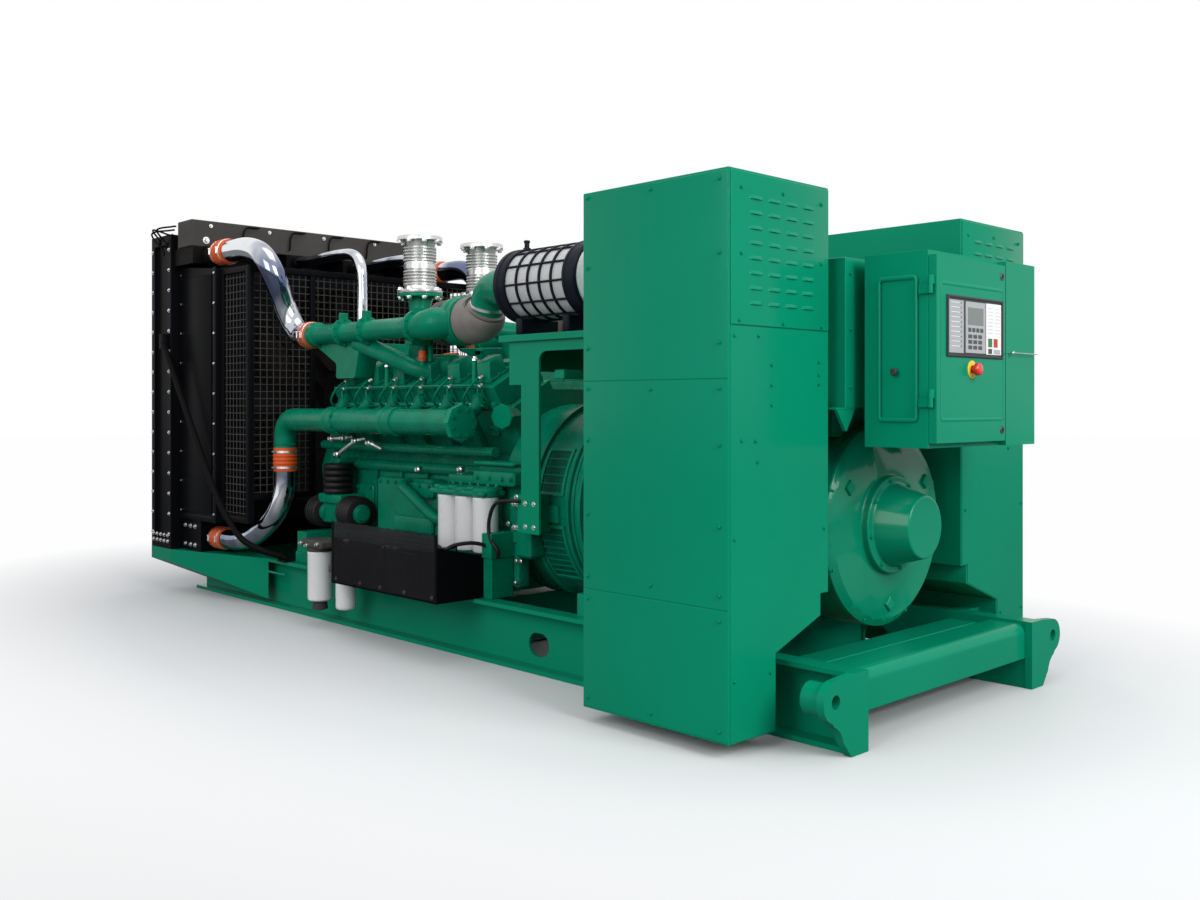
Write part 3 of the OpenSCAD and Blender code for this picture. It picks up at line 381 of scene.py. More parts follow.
def turned(profile, base, axis, n=32):
    """A lathe shape: height h along the axis and radius r about it, for each (h, r)."""
    profile = np.asarray(profile, float)
    side, up = across(axis)
    turn = 2 * np.pi * np.arange(n) / n
    spoke = np.cos(turn)[:, None] * side + np.sin(turn)[:, None] * up
    axis = unit(axis)
    return (np.asarray(base, float) + profile[:, 0, None, None] * axis
            + profile[:, 1, None, None] * spoke[None])


def bar(low, high, axis=2, edge=0.002, corner=2):
    """A block with rounded long edges and chamfered ends: one rounded rectangle,
    drawn in by the edge at both ends, carried along an axis."""
    low, high = np.minimum(low, high).astype(float), np.maximum(low, high).astype(float)
    u, v = ((1, 2), (2, 0), (0, 1))[axis]
    edge = min(edge, 0.45 * float((high - low).min()))
    turn = np.concatenate([np.linspace(q, q + 90, corner + 1) for q in (0, 90, 180, 270)])
    turn = np.radians(turn)
    sign_u = np.repeat([1, -1, -1, 1], corner + 1)
    sign_v = np.repeat([1, 1, -1, -1], corner + 1)
    middle, half = (low + high) / 2, (high - low) / 2
    points = np.zeros((4, len(turn), 3))
    for row, (place, inset) in enumerate(((low[axis], edge), (low[axis] + edge, 0),
                                          (high[axis] - edge, 0), (high[axis], edge))):
        points[row, :, axis] = place
        points[row, :, u] = middle[u] + sign_u * (half[u] - edge) + (edge - inset) * np.cos(turn)
        points[row, :, v] = middle[v] + sign_v * (half[v] - edge) + (edge - inset) * np.sin(turn)
    return points


def bolts(piece, places, normal, across_flats=0.019, washer=True):
    """Hexagon heads: a washer disc, then a six-sided head with its top chamfered."""
    r = across_flats / math.sqrt(3)
    head = turned([(0, r), (0.62 * r * 1.2, r), (0.85 * r * 1.2, 0.86 * r)], (0, 0, 0), normal, 6)
    disc = turned([(-0.001, 1.5 * r), (0.12 * r + 0.001, 1.5 * r)], (0, 0, 0), normal, 12)
    for spot in np.atleast_2d(places):
        if washer:
            piece.grid(disc + spot)
        piece.grid(head + spot + 0.12 * r * unit(normal))
    return piece


mirror = np.array([1, -1, 1])


def bolt_pairs(piece, places, normal, across_flats=0.019, washer=True):
    """Bolts at places, and their like on the other side of the middle plane."""
    bolts(piece, places, normal, across_flats, washer)
    bolts(piece, places * mirror, normal * mirror, across_flats, washer)


def circle(middle, radius, count, phase=0.0):
    """Points round a line along x: point k stands k and a phase, over the count, of a
    whole turn from level."""
    x, y, z = middle
    turn = 2 * np.pi * (np.arange(count) + phase) / count
    return np.stack([0 * turn + x, y + radius * np.cos(turn), z + radius * np.sin(turn)], -1)


def rows(*spans):
    """Every combination of the coordinates given for x, y and z."""
    grids = np.meshgrid(*[np.atleast_1d(s) for s in spans], indexing="ij")
    return np.stack([g.ravel() for g in grids], -1)


# Weld beads run along the rail's foot where the lifting plates meet it.


def tube(path, radius, n=20, guide=(0.0, 1.0, 0.0)):
    """Circles square to a path, their start always square to the guide direction."""
    path = np.asarray(path, float)
    along = unit(np.gradient(path, axis=0))
    side = unit(np.cross(along, guide))
    up = np.cross(along, side)
    turn = 2 * np.pi * np.arange(n) / n
    radius = np.broadcast_to(np.asarray(radius, float), len(path))[:, None, None]
    spoke = np.cos(turn)[None, :, None] * side[:, None] + np.sin(turn)[None, :, None] * up[:, None]
    return path[:, None] + radius * spoke


rail_low, rail_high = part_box("skid_rails")
welds = Piece("skid_welds")
for weld_y in (-rail_high.y, rail_high.y):
    s = np.linspace(0, 1, 120)
    bead = 0.006 * (1 + 0.22 * np.sin(2 * np.pi * 34 * s))
    line = np.stack([0 * s + rail_high.x - 0.001, 0 * s + weld_y * 0.93, 0.02 + 0.22 * s], -1)
    welds.grid(tube(line, bead, 8))
    line = np.stack([rail_low.x + 0.2 + 0.9 * s, 0 * s + weld_y, 0 * s + rail_high.z - 0.072], -1)
    welds.grid(tube(line, bead, 8, (0, 0, 1)))
welds.make(sheet_green, "green_paint")


# ------------------------------------------------------------------ radiator
# A channel frame round a copper and brass core, with a top tank, a shroud box and
# wire guards round the fan, all stove-enamelled black and held by plated screws.


def cast_paint(name, colour, gloss=0.16, shine=0.4):
    """Gloss sprayed over rough castings: sand grain under it, dirt in random patches."""
    paint = Finish(name, Specular_IOR_Level=shine)
    grime = paint.noise(9.0, 6.0, 0.62)
    deep = tuple(0.55 * c for c in colour)
    paint.feed(Base_Color=paint.blend(grime, deep, tuple(1.3 * c for c in colour)),
               Roughness=paint.noise(30.0, 4.0) * 0.25 + gloss)
    paint.relief(paint.noise(240.0, 3.0) + paint.noise(38.0, 2.0), 0.22, 0.0009)
    return paint.material


def mottled(name, patch, low, high, grain, swing, rough, relief=None, **constants):
    """A finish that drifts between two tones in patches, with a roughness that swings
    above its least value, and a relief of scale, strength and depth where given."""
    finish = Finish(name, **constants)
    finish.feed(Base_Color=finish.blend(finish.noise(patch), low, high),
                Roughness=finish.noise(grain) * swing + rough)
    if relief:
        scale, strength, depth = relief
        finish.relief(finish.noise(scale), strength, depth)
    return finish.material


zinc = mottled("zinc", 60.0, (0.55, 0.55, 0.53), (0.86, 0.86, 0.84), 90.0, 0.3, 0.2, Metallic=1.0)
sheet_black = sheet_paint("sheet_black", (0.0038, 0.0040, 0.0048), 0.3, 0.03)
cast_black = cast_paint("cast_black", (0.004, 0.004, 0.0044), 0.42, 0.05)
dusty_black = Finish("dusty_black", Specular_IOR_Level=0.05)
dust = (dusty_black.noise(2.2, 4.0) * 0.9 + dusty_black.noise(24.0, 3.0) * 0.35 - 0.2).clamped()
dusty_black.feed(Base_Color=dusty_black.blend(dust, (0.036, 0.034, 0.032), (0.080, 0.075, 0.070)),
                 Roughness=dusty_black.noise(12.0) * 0.25 + 0.34)
dusty_black.relief(dusty_black.noise(200.0), 0.06, 0.0006)
dusty_black = dusty_black.material
for frame_node in ("radiator_frame", "fan_shroud"):
    softened(frame_node, sheet_black, 0.003)
softened("radiator_top_tank", dusty_black, 0.008, 3)
softened("radiator_bottom_tank", sheet_black, 0.006)
softened("radiator_pipe_ports", cast_black, 0.004)
softened("fan", cast_black, 0.004)


fins = Finish("core_fins", Metallic=0.35)
_, fin_y, fin_z = fins.axes()
ripple = (fin_z.wave(320.0) * 0.5 + 0.5)
tubes_row = (fin_y.wave(72.0) > 0.55)
fins.feed(Base_Color=fins.blend(ripple * 0.7 + tubes_row * 0.3, (0.006, 0.0055, 0.005), (0.05, 0.042, 0.035)),
          Roughness=fins.noise(40.0) * 0.3 + 0.45)
fins.relief(ripple + tubes_row * 0.8, 0.5, 0.002)


def dress(material, *nodes):
    """Gives frame nodes a finish in place of their own."""
    for node in nodes:
        mesh = frame["nodes"][node].data
        mesh.materials.clear()
        mesh.materials.append(material)


dress(fins.material, "radiator_core")

frame_low, frame_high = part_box("radiator_frame")
shroud_low, shroud_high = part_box("fan_shroud")
tank_low, tank_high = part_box("radiator_top_tank")
guard_low, guard_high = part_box("fan_guard_sides")
screws = Piece("radiator_screws")
screw_head = 0.013
for side in (-1, 1):
    face = side * (frame_high.y + 0.0005)
    out = (0, side, 0)
    for column in (frame_low.x + 0.022, frame_high.x - 0.022):
        heights = np.linspace(frame_low.z + 0.09, frame_high.z - 0.09, 15)
        bolts(screws, rows(column, face, heights), out, screw_head)
    face = side * (shroud_high.y + 0.0035)
    bolts(screws, rows(shroud_high.x - 0.02, face, np.linspace(0.5, 1.88, 9)), out, screw_head)
    bolts(screws, rows(shroud_low.x + 0.02, face, np.linspace(0.5, 1.9, 9)), out, 0.011)
bolts(screws, rows(tank_high.x, np.linspace(tank_low.y + 0.12, tank_high.y - 0.12, 5),
                   tank_high.z - 0.030), (1, 0, 0), screw_head)
bolts(screws, rows(frame_low.x, np.linspace(-0.82, 0.82, 15), (frame_low.z + 0.04, frame_high.z - 0.04)),
      (-1, 0, 0), screw_head)
bolts(screws, rows(frame_low.x, (-0.84, 0.84), np.linspace(0.4, 2.0, 14)), (-1, 0, 0), screw_head)
screws.make(zinc, "bellows_steel")

# The shroud's corner posts and stiffening angles are folded strip, bolted on.
angles = Piece("shroud_angles")
for side in (-1, 1):
    y0, y1 = side * shroud_high.y, side * (shroud_high.y + 0.006)
    for x in (shroud_low.x, shroud_high.x - 0.04):
        angles.grid(bar((x, y0, shroud_low.z), (x + 0.04, y1, shroud_high.z - 0.035), 2, 0.0015))
    angles.grid(bar((shroud_low.x + 0.04, y0, shroud_low.z),
                    (shroud_high.x - 0.04, y1, shroud_low.z + 0.035), 0, 0.0015))
    y0 = side * (shroud_high.y - 0.001)
    y1 = side * (shroud_high.y + 0.008)
    angles.grid(bar((shroud_low.x + 0.006, y0, shroud_low.z + 0.05),
                    (shroud_high.x - 0.055, y1, shroud_high.z - 0.075), 2, 0.0018))
bolts(angles, rows(shroud_high.x + 0.0005, np.linspace(-0.74, 0.74, 7), 1.89), (1, 0, 0), screw_head)
angles.make(sheet_black, "black_paint")

# Welded wire guards: drawn wires at a forty millimetre pitch inside square bars.
wires = Piece("fan_guard_mesh")
wire_pitch = 0.04


def wire(start, end, thickness=0.0028):
    """A straight drawn wire of six sides between two points."""
    start, end = np.asarray(start, float), np.asarray(end, float)
    return turned([(0, thickness), (np.linalg.norm(end - start), thickness)], start, end - start, 6)


guard_inner = guard_high.y - 0.034
guard_middle = guard_high.y - 0.017
guard_back_low, guard_back_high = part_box("fan_guard_back")
back_x = guard_back_high.x - 0.017
for side in (-1, 1):
    y = side * guard_middle
    for z in np.arange(guard_low.z + 0.05, guard_high.z - 0.03, wire_pitch):
        wires.grid(wire((guard_low.x + 0.02, y, z), (guard_high.x - 0.02, y, z)))
    for x in np.arange(guard_low.x + 0.05, guard_high.x - 0.03, wire_pitch):
        wires.grid(wire((x, y, guard_low.z + 0.02), (x, y, guard_high.z - 0.02)))
    for z in np.arange(guard_back_low.z + 0.04, guard_high.z - 0.04, wire_pitch):
        wires.grid(wire((back_x, side * 0.40, z), (back_x, side * guard_inner, z)))
    for y in np.arange(0.44, guard_inner, wire_pitch):
        wires.grid(wire((back_x, side * y, guard_back_low.z + 0.02), (back_x, side * y, guard_high.z - 0.02)))
for z in np.arange(1.52, guard_high.z - 0.04, wire_pitch):
    wires.grid(wire((back_x, -0.40, z), (back_x, 0.40, z)))
for y in np.arange(-0.36, 0.37, wire_pitch):
    wires.grid(wire((back_x, y, 1.49), (back_x, y, guard_high.z - 0.02)))
wires.make(dusty_black, "black_paint")

bars = Piece("fan_guard_bars")
bar_w = 0.034
for side in (-1, 1):
    y0, y1 = side * guard_high.y, side * guard_inner
    for x in (guard_low.x, guard_high.x - bar_w):
        bars.grid(bar((x, y0, guard_low.z), (x + bar_w, y1, guard_high.z), 2))
    for z in (guard_low.z, guard_high.z - bar_w):
        bars.grid(bar((guard_low.x + bar_w, y0, z), (guard_high.x - bar_w, y1, z + bar_w), 0))
    bars.grid(bar((guard_back_low.x, side * 0.385, guard_back_low.z),
                  (guard_back_high.x, side * 0.415, guard_high.z - bar_w), 2))
    bars.grid(bar((guard_back_low.x, side * 0.415, guard_back_low.z),
                  (guard_back_high.x, side * guard_inner, guard_back_low.z + 0.03), 1))
bars.grid(bar((guard_back_low.x, -guard_inner, guard_high.z - bar_w),
              (guard_back_high.x, guard_inner, guard_high.z), 1))
bars.grid(bar((guard_back_low.x, -0.385, 1.47), (guard_back_high.x, 0.385, 1.5), 1))
bars.make(sheet_black, "black_paint", replaces=("fan_guard_sides", "fan_guard_back"))

# Vent hoses and sensor leads loop from the tank to the frame and its fittings.


def curved(stations, steps=8):
    """A smooth line through stations: a cubic between each two, with the slope at a
    station along the line from the one before it to the one after it."""
    p = np.asarray(stations, float)
    p = np.concatenate([2 * p[:1] - p[1:2], p, 2 * p[-1:] - p[-2:-1]])
    t = (np.arange(steps) / steps)[None, :, None]
    a, b, c, d = p[:-3, None], p[1:-2, None], p[2:-1, None], p[3:, None]
    line = 0.5 * (2 * b + (c - a) * t + (2 * a - 5 * b + 4 * c - d) * t ** 2
                  + (3 * b - a - 3 * c + d) * t ** 3)
    return np.concatenate([line.reshape(-1, 3), p[-2:-1]])


leads = Piece("tank_leads")
tank_face = tank_high.x + 0.004
lead_top = tank_high.z - 0.02
for start, rise, end in (((-2.30, -0.885, 2.06), (-2.33, -0.93, 2.17), (-2.20, -0.872, 2.185)),
                         ((-2.34, -0.885, 2.02), (-2.38, -0.94, 2.15), (-2.22, -0.872, 2.165)),
                         ((-2.40, -0.885, 2.09), (-2.41, -0.92, 2.18), (-2.24, -0.872, 2.14))):
    start, rise, end = (np.array(p) for p in (start, rise, end))
    leads.grid(tube(curved([start, start + (0, 0, 0.03), rise, end - (0.03, 0.01, 0), end], 7), 0.0055, 8))
for y in (-0.56, -0.25, 0.02, 0.30):
    run = [(tank_face + 0.012, y, 2.075), (tank_face + 0.02, y, 2.11), (tank_face + 0.02, y + 0.004, 2.15),
           (tank_face + 0.012, y + 0.03, 2.188), (tank_face + 0.006, y + 0.09, lead_top + 0.006),
           (tank_face - 0.03, y + 0.15, lead_top + 0.016)]
    leads.grid(tube(curved(run, 6), 0.006, 8, (1, 0, 0)))
leads.make(cast_black, "black_paint")
fittings = Piece("tank_fittings")
bolts(fittings, rows(tank_high.x, (-0.78, -0.46, 0.12, 0.55), 2.09), (1, 0, 0), 0.024)
for side in (-1, 1):
    out = (0, side, 0)
    face = side * (frame_high.y + 0.0005)
    bolts(fittings, rows(np.linspace(-2.49, -2.29, 5), face, (0.31, 0.345)), out, 0.014)
    bolts(fittings, rows((-2.20, -2.13, -2.07), side * 0.8105, (0.30, 0.41)), out, 0.016)
fittings.make(zinc, "bellows_steel")

# Bent tube struts from the frame's channels to the rails, flattened at their feet.
struts = Piece("radiator_struts")
strut_line = [(-2.31, -0.901, 1.50), (-2.05, -0.892, 1.14), (-1.69, -0.877, 0.65), (-1.55, -0.859, 0.49),
              (-1.44, -0.835, 0.39), (-1.345, -0.765, 0.33), (-1.285, -0.665, 0.29)]
strut = tube(curved(strut_line, 8), 0.017, 16)
foot = bar((-1.33, -0.683, 0.265), (-1.25, -0.585, 0.277), 1)
clip = bar((-2.34, -0.913, 1.46), (-2.285, -0.8805, 1.55), 2)
struts.pair(strut, foot, clip)
struts.make(cast_black, "black_paint", replaces=("radiator_braces",))


# ------------------------------------------------------------------ engine castings
# Grey iron block, heads and covers bolted together and sprayed green as one. Each
# cylinder has its own head and its own cast cover.

cast_green = cast_paint("cast_green", (0.0008, 0.185, 0.100), 0.14, 0.10)
for casting in ("engine_block", "oil_pan", "front_gear_cover", "cylinder_heads", "thermostat_housing",
                "flywheel_housing", "engine_mounts"):
    softened(casting, cast_green, 0.006, 3)

block_low, block_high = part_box("engine_block")
crank_z = 0.675
lean = math.radians(30)
pitch = 0.234
cylinders = 0.190 + pitch * np.arange(-5, 1)


def on_bank(points):
    """Turns points from the bank's own across and up into the set's frame: the near
    bank leans out by thirty degrees about the crankshaft."""
    x, a, h = points[..., 0], points[..., 1], points[..., 2]
    return np.stack([x, a * math.cos(lean) - h * math.sin(lean),
                     crank_z + a * math.sin(lean) + h * math.cos(lean)], -1)


def rounded(corners, radius, steps=3):
    """A closed outline with each corner replaced by a curve that leaves and meets its
    two sides square, a weighted mean of the corner and the points before and after."""
    p = np.asarray(corners, float)
    before, after = np.roll(p, 1, 0), np.roll(p, -1, 0)
    start = p + unit(before - p) * radius
    end = p + unit(after - p) * radius
    t = np.linspace(0, 1, steps + 1)[None, :, None]
    arc = (1 - t) ** 2 * start[:, None] + 2 * t * (1 - t) * p[:, None] + t ** 2 * end[:, None]
    return arc.reshape(-1, 2)


def cover_shell(middle_x, half, outline, base, shrink=0.93):
    """A cast cover: its outline drawn in at both ends with a small shoulder."""
    outline = np.asarray(outline)
    centre = outline.mean(0) * (1, 0.3)
    stations = np.array([(-half, shrink), (-half + 0.002, 0.97), (-half + 0.007, 1.0),
                         (half - 0.007, 1.0), (half - 0.002, 0.97), (half, shrink)])
    ring = centre + (outline - centre) * stations[:, 1, None, None]
    x = np.broadcast_to((middle_x + stations[:, 0])[:, None], ring.shape[:2])
    return on_bank(np.stack([x, ring[..., 0], base + ring[..., 1]], -1))


up = np.array([0, -math.sin(lean), math.cos(lean)])
outward = np.array([0, -math.cos(lean), -math.sin(lean)])
deck_top = 0.70
covers = Piece("rocker_castings")
cover_bolts = Piece("rocker_bolts")
head_detail = Piece("head_bosses")
cover_line = rounded([(-0.108, 0.002), (0.014, 0.002), (0.022, 0.086), (-0.064, 0.088)], 0.008)
base_line = rounded([(-0.112, 0), (0.070, 0), (0.070, 0.012), (-0.112, 0.012)], 0.004, 2)
for x in cylinders:
    covers.pair(cover_shell(x, 0.048, cover_line, deck_top),
                cover_shell(x, 0.064, base_line, deck_top, 0.99))
    for dx in (-0.056, 0.056):
        spots = on_bank(np.array([[x + dx, a, deck_top + 0.012] for a in (-0.10, -0.045, 0.01, 0.055)]))
        bolt_pairs(cover_bolts, spots, up, 0.013)
    boss = turned([(-0.002, 0.036), (0.022, 0.034), (0.027, 0.026), (0.045, 0.024), (0.048, 0.018)],
                  on_bank(np.array([x - 0.02, -0.145, 0.64])), outward, 18)
    head_detail.pair(boss)
    for dx in (-0.07, 0.07):
        stud = turned([(-0.002, 0.020), (0.016, 0.019), (0.02, 0.014)],
                      on_bank(np.array([x + dx, -0.145, 0.605])), outward, 14)
        rib = bar((-0.006, -0.012, -0.045), (0.006, 0.002, 0.055), 2, 0.003)
        rib = on_bank(rib + (x + dx * 0.45, -0.146, 0.635))
        head_detail.pair(stud, rib)
covers.make(cast_green, "green_paint", replaces=("rocker_covers",))
cover_bolts.make(cast_green, "green_paint")
head_detail.make(cast_green, "green_paint")

# Fuel lines of drawn tube run from a rail along the heads to each injector, with a
# leak-off line above them; each end has a small union nut.
lines = Piece("fuel_lines")
unions = Piece("fuel_unions")
rail_run = on_bank(rows((cylinders[0] - 0.06, cylinders[3], cylinders[5] + 0.06), -0.185, 0.628))
high_run = on_bank(rows((cylinders[0] - 0.04, cylinders[3], cylinders[5] + 0.05), -0.168, 0.722))
for run, thick in ((rail_run, 0.014), (high_run, 0.007)):
    lines.pair(tube(run, thick, 12))
for x in cylinders:
    loop = [(x - 0.05, -0.185, 0.632), (x - 0.055, -0.215, 0.645), (x - 0.035, -0.222, 0.685),
            (x - 0.005, -0.19, 0.722), (x + 0.012, -0.145, 0.738), (x + 0.012, -0.112, 0.735)]
    drop = [(x + 0.06, -0.168, 0.722), (x + 0.062, -0.20, 0.71), (x + 0.07, -0.215, 0.66),
            (x + 0.06, -0.187, 0.63)]
    for run, thick in ((loop, 0.0058), (drop, 0.0045)):
        lines.pair(tube(curved(on_bank(np.array(run)), 5), thick, 8, (1, 0, 0)))
    for spot, way in (((x - 0.05, -0.187, 0.632), outward), ((x + 0.012, -0.118, 0.737), outward),
                      ((x + 0.06, -0.172, 0.722), outward)):
        nut = turned([(-0.010, 0.010), (0.010, 0.010), (0.012, 0.008)], on_bank(np.array(spot)), way, 6)
        unions.pair(nut)
lines.make(cast_green, "green_paint")
unions.make(zinc, "bellows_steel")

# Cast ribs, oil galleries, bolted doors and a flat oil cooler on the crankcase sides.
crankcase = Piece("crankcase_details")
crank_bolts = Piece("crankcase_bolts")
door_z = 0.62
door_line = rounded([(-0.085, -0.075), (0.085, -0.075), (0.085, 0.075), (-0.085, 0.075)], 0.03, 4)
wall_y = 0.3295
for x in cylinders:
    ring = np.stack([x + door_line[:, 0], np.full(len(door_line), -wall_y), door_z + door_line[:, 1]], -1)
    centre = np.array([x, 0, door_z])
    small = centre + (ring - centre) * (0.93, 1, 0.93)
    door = np.stack([ring, ring - (0, 0.012, 0), small - (0, 0.018, 0)])[:, ::-1]
    crankcase.pair(door)
    for dx in (-0.062, 0.062):
        spots = np.array([[x + dx, -0.348, door_z + dz] for dz in (-0.055, 0.055)])
        bolt_pairs(crank_bolts, spots, (0, -1, 0), 0.016)
    between = x - 0.5 * pitch
    rib = bar((between - 0.007, -0.352, 0.485), (between + 0.007, -0.328, 0.79), 2, 0.004)
    shelf_rib = on_bank(bar((between - 0.007, -0.185, 0.33), (between + 0.007, -0.148, 0.57), 2, 0.004))
    crankcase.pair(rib, shelf_rib)
    plug = turned([(0, 0.030), (0.016, 0.029), (0.019, 0.022), (0.012, 0.016)],
                  on_bank(np.array([x, -0.149, 0.47])), outward, 20)
    crankcase.pair(plug)
gallery = tube(rows((block_low.x + 0.02, 0.0, block_high.x - 0.02), -0.335, 0.80), 0.03, 18)
low_gallery = tube(rows((block_low.x + 0.06, -0.4, block_high.x - 0.06), -0.44, 0.905), 0.024, 16)
crankcase.pair(gallery, low_gallery)
pan_flange = bar((block_low.x + 0.02, -0.345, 0.470), (block_high.x - 0.005, -0.30, 0.492), 0, 0.003)
crankcase.pair(pan_flange)
along_pan = np.linspace(block_low.x + 0.06, block_high.x - 0.05, 24)
for side in (-1, 1):
    bolts(crank_bolts, rows(along_pan, side * 0.332, 0.470), (0, 0, -1), 0.014)
plate = [(-0.735, 0.455), (-0.19, 0.455), (-0.19, 0.70), (-0.26, 0.752), (-0.735, 0.745)]
flat = np.insert(rounded(plate, 0.02, 4), 1, 0, axis=1)
middle = np.array([-0.46, 0, 0.6])
drawn_in = middle + (flat - middle) * (0.985, 1, 0.97)
cooler = np.stack([flat - (0, 0.345, 0), flat - (0, 0.418, 0), drawn_in - (0, 0.423, 0)])[:, ::-1]
crankcase.pair(cooler)
for low, high in (((-0.41, -0.455, 0.66), (-0.21, -0.415, 0.735)),
                  ((-0.56, -0.445, 0.48), (-0.22, -0.42, 0.56)),
                  ((0.01, -0.52, 0.755), (0.21, -0.34, 0.80)),
                  ((0.203, -0.52, 0.757), (0.50, -0.36, 0.824)),
                  ((0.203, -0.485, 0.815), (0.50, -0.36, 0.85)),
                  ((0.203, -0.52, 0.847), (0.50, -0.36, 0.868))):
    crankcase.pair(bar(low, high, 0, 0.010, 3))
transfer = tube(curved([(-0.43, -0.44, 0.735), (-0.40, -0.49, 0.715), (-0.32, -0.50, 0.68),
                        (-0.20, -0.505, 0.62), (-0.11, -0.50, 0.575), (-0.085, -0.45, 0.55)], 6), 0.027, 18)
crankcase.pair(transfer)
for side in (-1, 1):
    out = (0, side, 0)
    bolts(crank_bolts, rows(np.linspace(-0.71, -0.22, 8), side * 0.4235, (0.475, 0.725))[:15], out, 0.014)
    bolts(crank_bolts, rows((-0.39, -0.31, -0.23), side * 0.455, (0.675, 0.72)), out, 0.015)
    bolts(crank_bolts, rows((0.24, 0.33, 0.42, 0.48), side * 0.52, (0.79,)), out, 0.016)
crankcase.make(cast_green, "green_paint")
crank_bolts.make(cast_green, "green_paint")

# Small plated pipes and banjo bolts by the front of the block.
small_pipes = Piece("plated_pipes")
water_bypass = [(-1.03, -0.50, 0.93), (-1.00, -0.535, 0.945), (-0.94, -0.54, 0.948), (-0.895, -0.53, 0.95),
                (-0.88, -0.49, 0.95)]
oil_feed = [(-0.965, -0.52, 0.845), (-0.94, -0.535, 0.862), (-0.85, -0.54, 0.902), (-0.765, -0.535, 0.938),
            (-0.74, -0.50, 0.945)]
fuel_return = [(-0.66, -0.50, 0.925), (-0.655, -0.53, 0.93), (-0.62, -0.535, 0.925), (-0.585, -0.50, 0.90)]
for run, thick in ((water_bypass, 0.013), (oil_feed, 0.011), (fuel_return, 0.010)):
    small_pipes.pair(tube(curved(run, 5), thick, 12, (0, 0, 1)))
knob = [(-0.014, 0.014), (0.010, 0.016), (0.014, 0.013), (0.016, 0.009), (0.022, 0.009)]
for spot in ((-1.00, -0.54, 0.945), (-0.895, -0.535, 0.95), (-0.765, -0.54, 0.938), (-0.94, -0.54, 0.862),
             (-0.64, -0.535, 0.93), (-0.35, -0.43, 0.80), (0.0, -0.43, 0.815)):
    small_pipes.pair(turned(knob, spot, (0, -1, 0), 12))
nut = [(-0.002, 0.010), (0.000, 0.016), (0.010, 0.016), (0.014, 0.010), (0.020, 0.009)]
breathers = ((0.105, -0.43, 1.336), (-0.605, -0.45, 1.322))
for spot in breathers:
    small_pipes.pair(turned(nut, spot, (0, 0, 1), 6))
small_pipes.make(zinc, "bellows_steel")

# Round covers close the water galleries at the rear of the heads.
rear_caps = Piece("gallery_caps")
cap = turned([(-0.11, 0.050), (-0.02, 0.052), (-0.018, 0.058), (0.0, 0.060), (0.004, 0.056)],
             (0.320, -0.44, 1.072), unit((0.30, -1, -0.05)), 8)
rear_caps.pair(cap)
for spot in breathers:
    stem = turned([(-0.130, 0.013), (-0.004, 0.013), (0.0, 0.010)], spot, (0, 0, 1), 14)
    rear_caps.pair(stem)
rear_caps.make(sheet_green, "green_paint")

# The engine-driven air compressor and pumps: rubber bellows and ribbed black
# housings round green hubs in front of the block.
rubber = mottled("black_rubber", 12.0, (0.004, 0.004, 0.0045), (0.013, 0.0125, 0.013), 60.0, 0.2, 0.38,
                 (260.0, 0.12, 0.0006), Specular_IOR_Level=0.22)
ribbed = Piece("drive_bellows")
hubs = Piece("drive_hubs")


def ribs(base, axis, length, radius, count, depth=0.013):
    """A corrugated sleeve: the radius follows a row of half circles of the depth."""
    h = np.linspace(0, length, 10 * count + 1)
    swing = 2 * ((count * h / length) % 1) - 1
    wave = radius - depth * (1 - np.sqrt(np.clip(1 - swing ** 2, 0, 1)))
    return turned(np.stack([h, wave], -1), base, axis, 28)


front_pump, rear_pump, pump_axis = (-1.2935, -0.45, 0.535), (-0.965, -0.45, 0.545), (1, -0.12, 0)
ribbed.pair(ribs((-1.0855, -0.45, 0.640), (0, 0, 1), 0.165, 0.080, 5),
            ribs(front_pump, pump_axis, 0.125, 0.088, 4), ribs(rear_pump, pump_axis, 0.145, 0.092, 4))
ribbed.make(rubber, "battery_case", replaces=("accessory_drive",))
for base, reach in ((front_pump, 0.125), (rear_pump, 0.145)):
    hub = [(reach - 0.02, 0.052), (reach + 0.006, 0.050), (reach + 0.010, 0.040), (reach + 0.022, 0.036),
           (reach + 0.024, 0.020)]
    hubs.pair(turned(hub, base, pump_axis, 24))
for low, high in (((-1.20, -0.51, 0.588), (-0.97, -0.34, 0.640)),
                  ((-1.19, -0.49, 0.48), (-0.94, -0.33, 0.60)),
                  ((-1.12, -0.47, 0.803), (-1.05, -0.33, 0.835))):
    hubs.pair(bar(low, high, 0, 0.010, 3))
wheel = turned([(-0.002, 0.06), (0.0, 0.098), (0.004, 0.100), (0.008, 0.094), (0.014, 0.094),
                (0.018, 0.100), (0.022, 0.1), (0.024, 0.06)], (-1.4255, -0.20, 0.615), (1, 0, 0), 36)
hubs.pair(wheel)
hubs.make(cast_green, "green_paint")


# ------------------------------------------------------------------ coolant and air pipes
# Cast manifolds beside the heads and cast ducts over them are green; the pipes to the
# radiator are bright bent tube, joined by orange silicone sleeves under steel clamps.

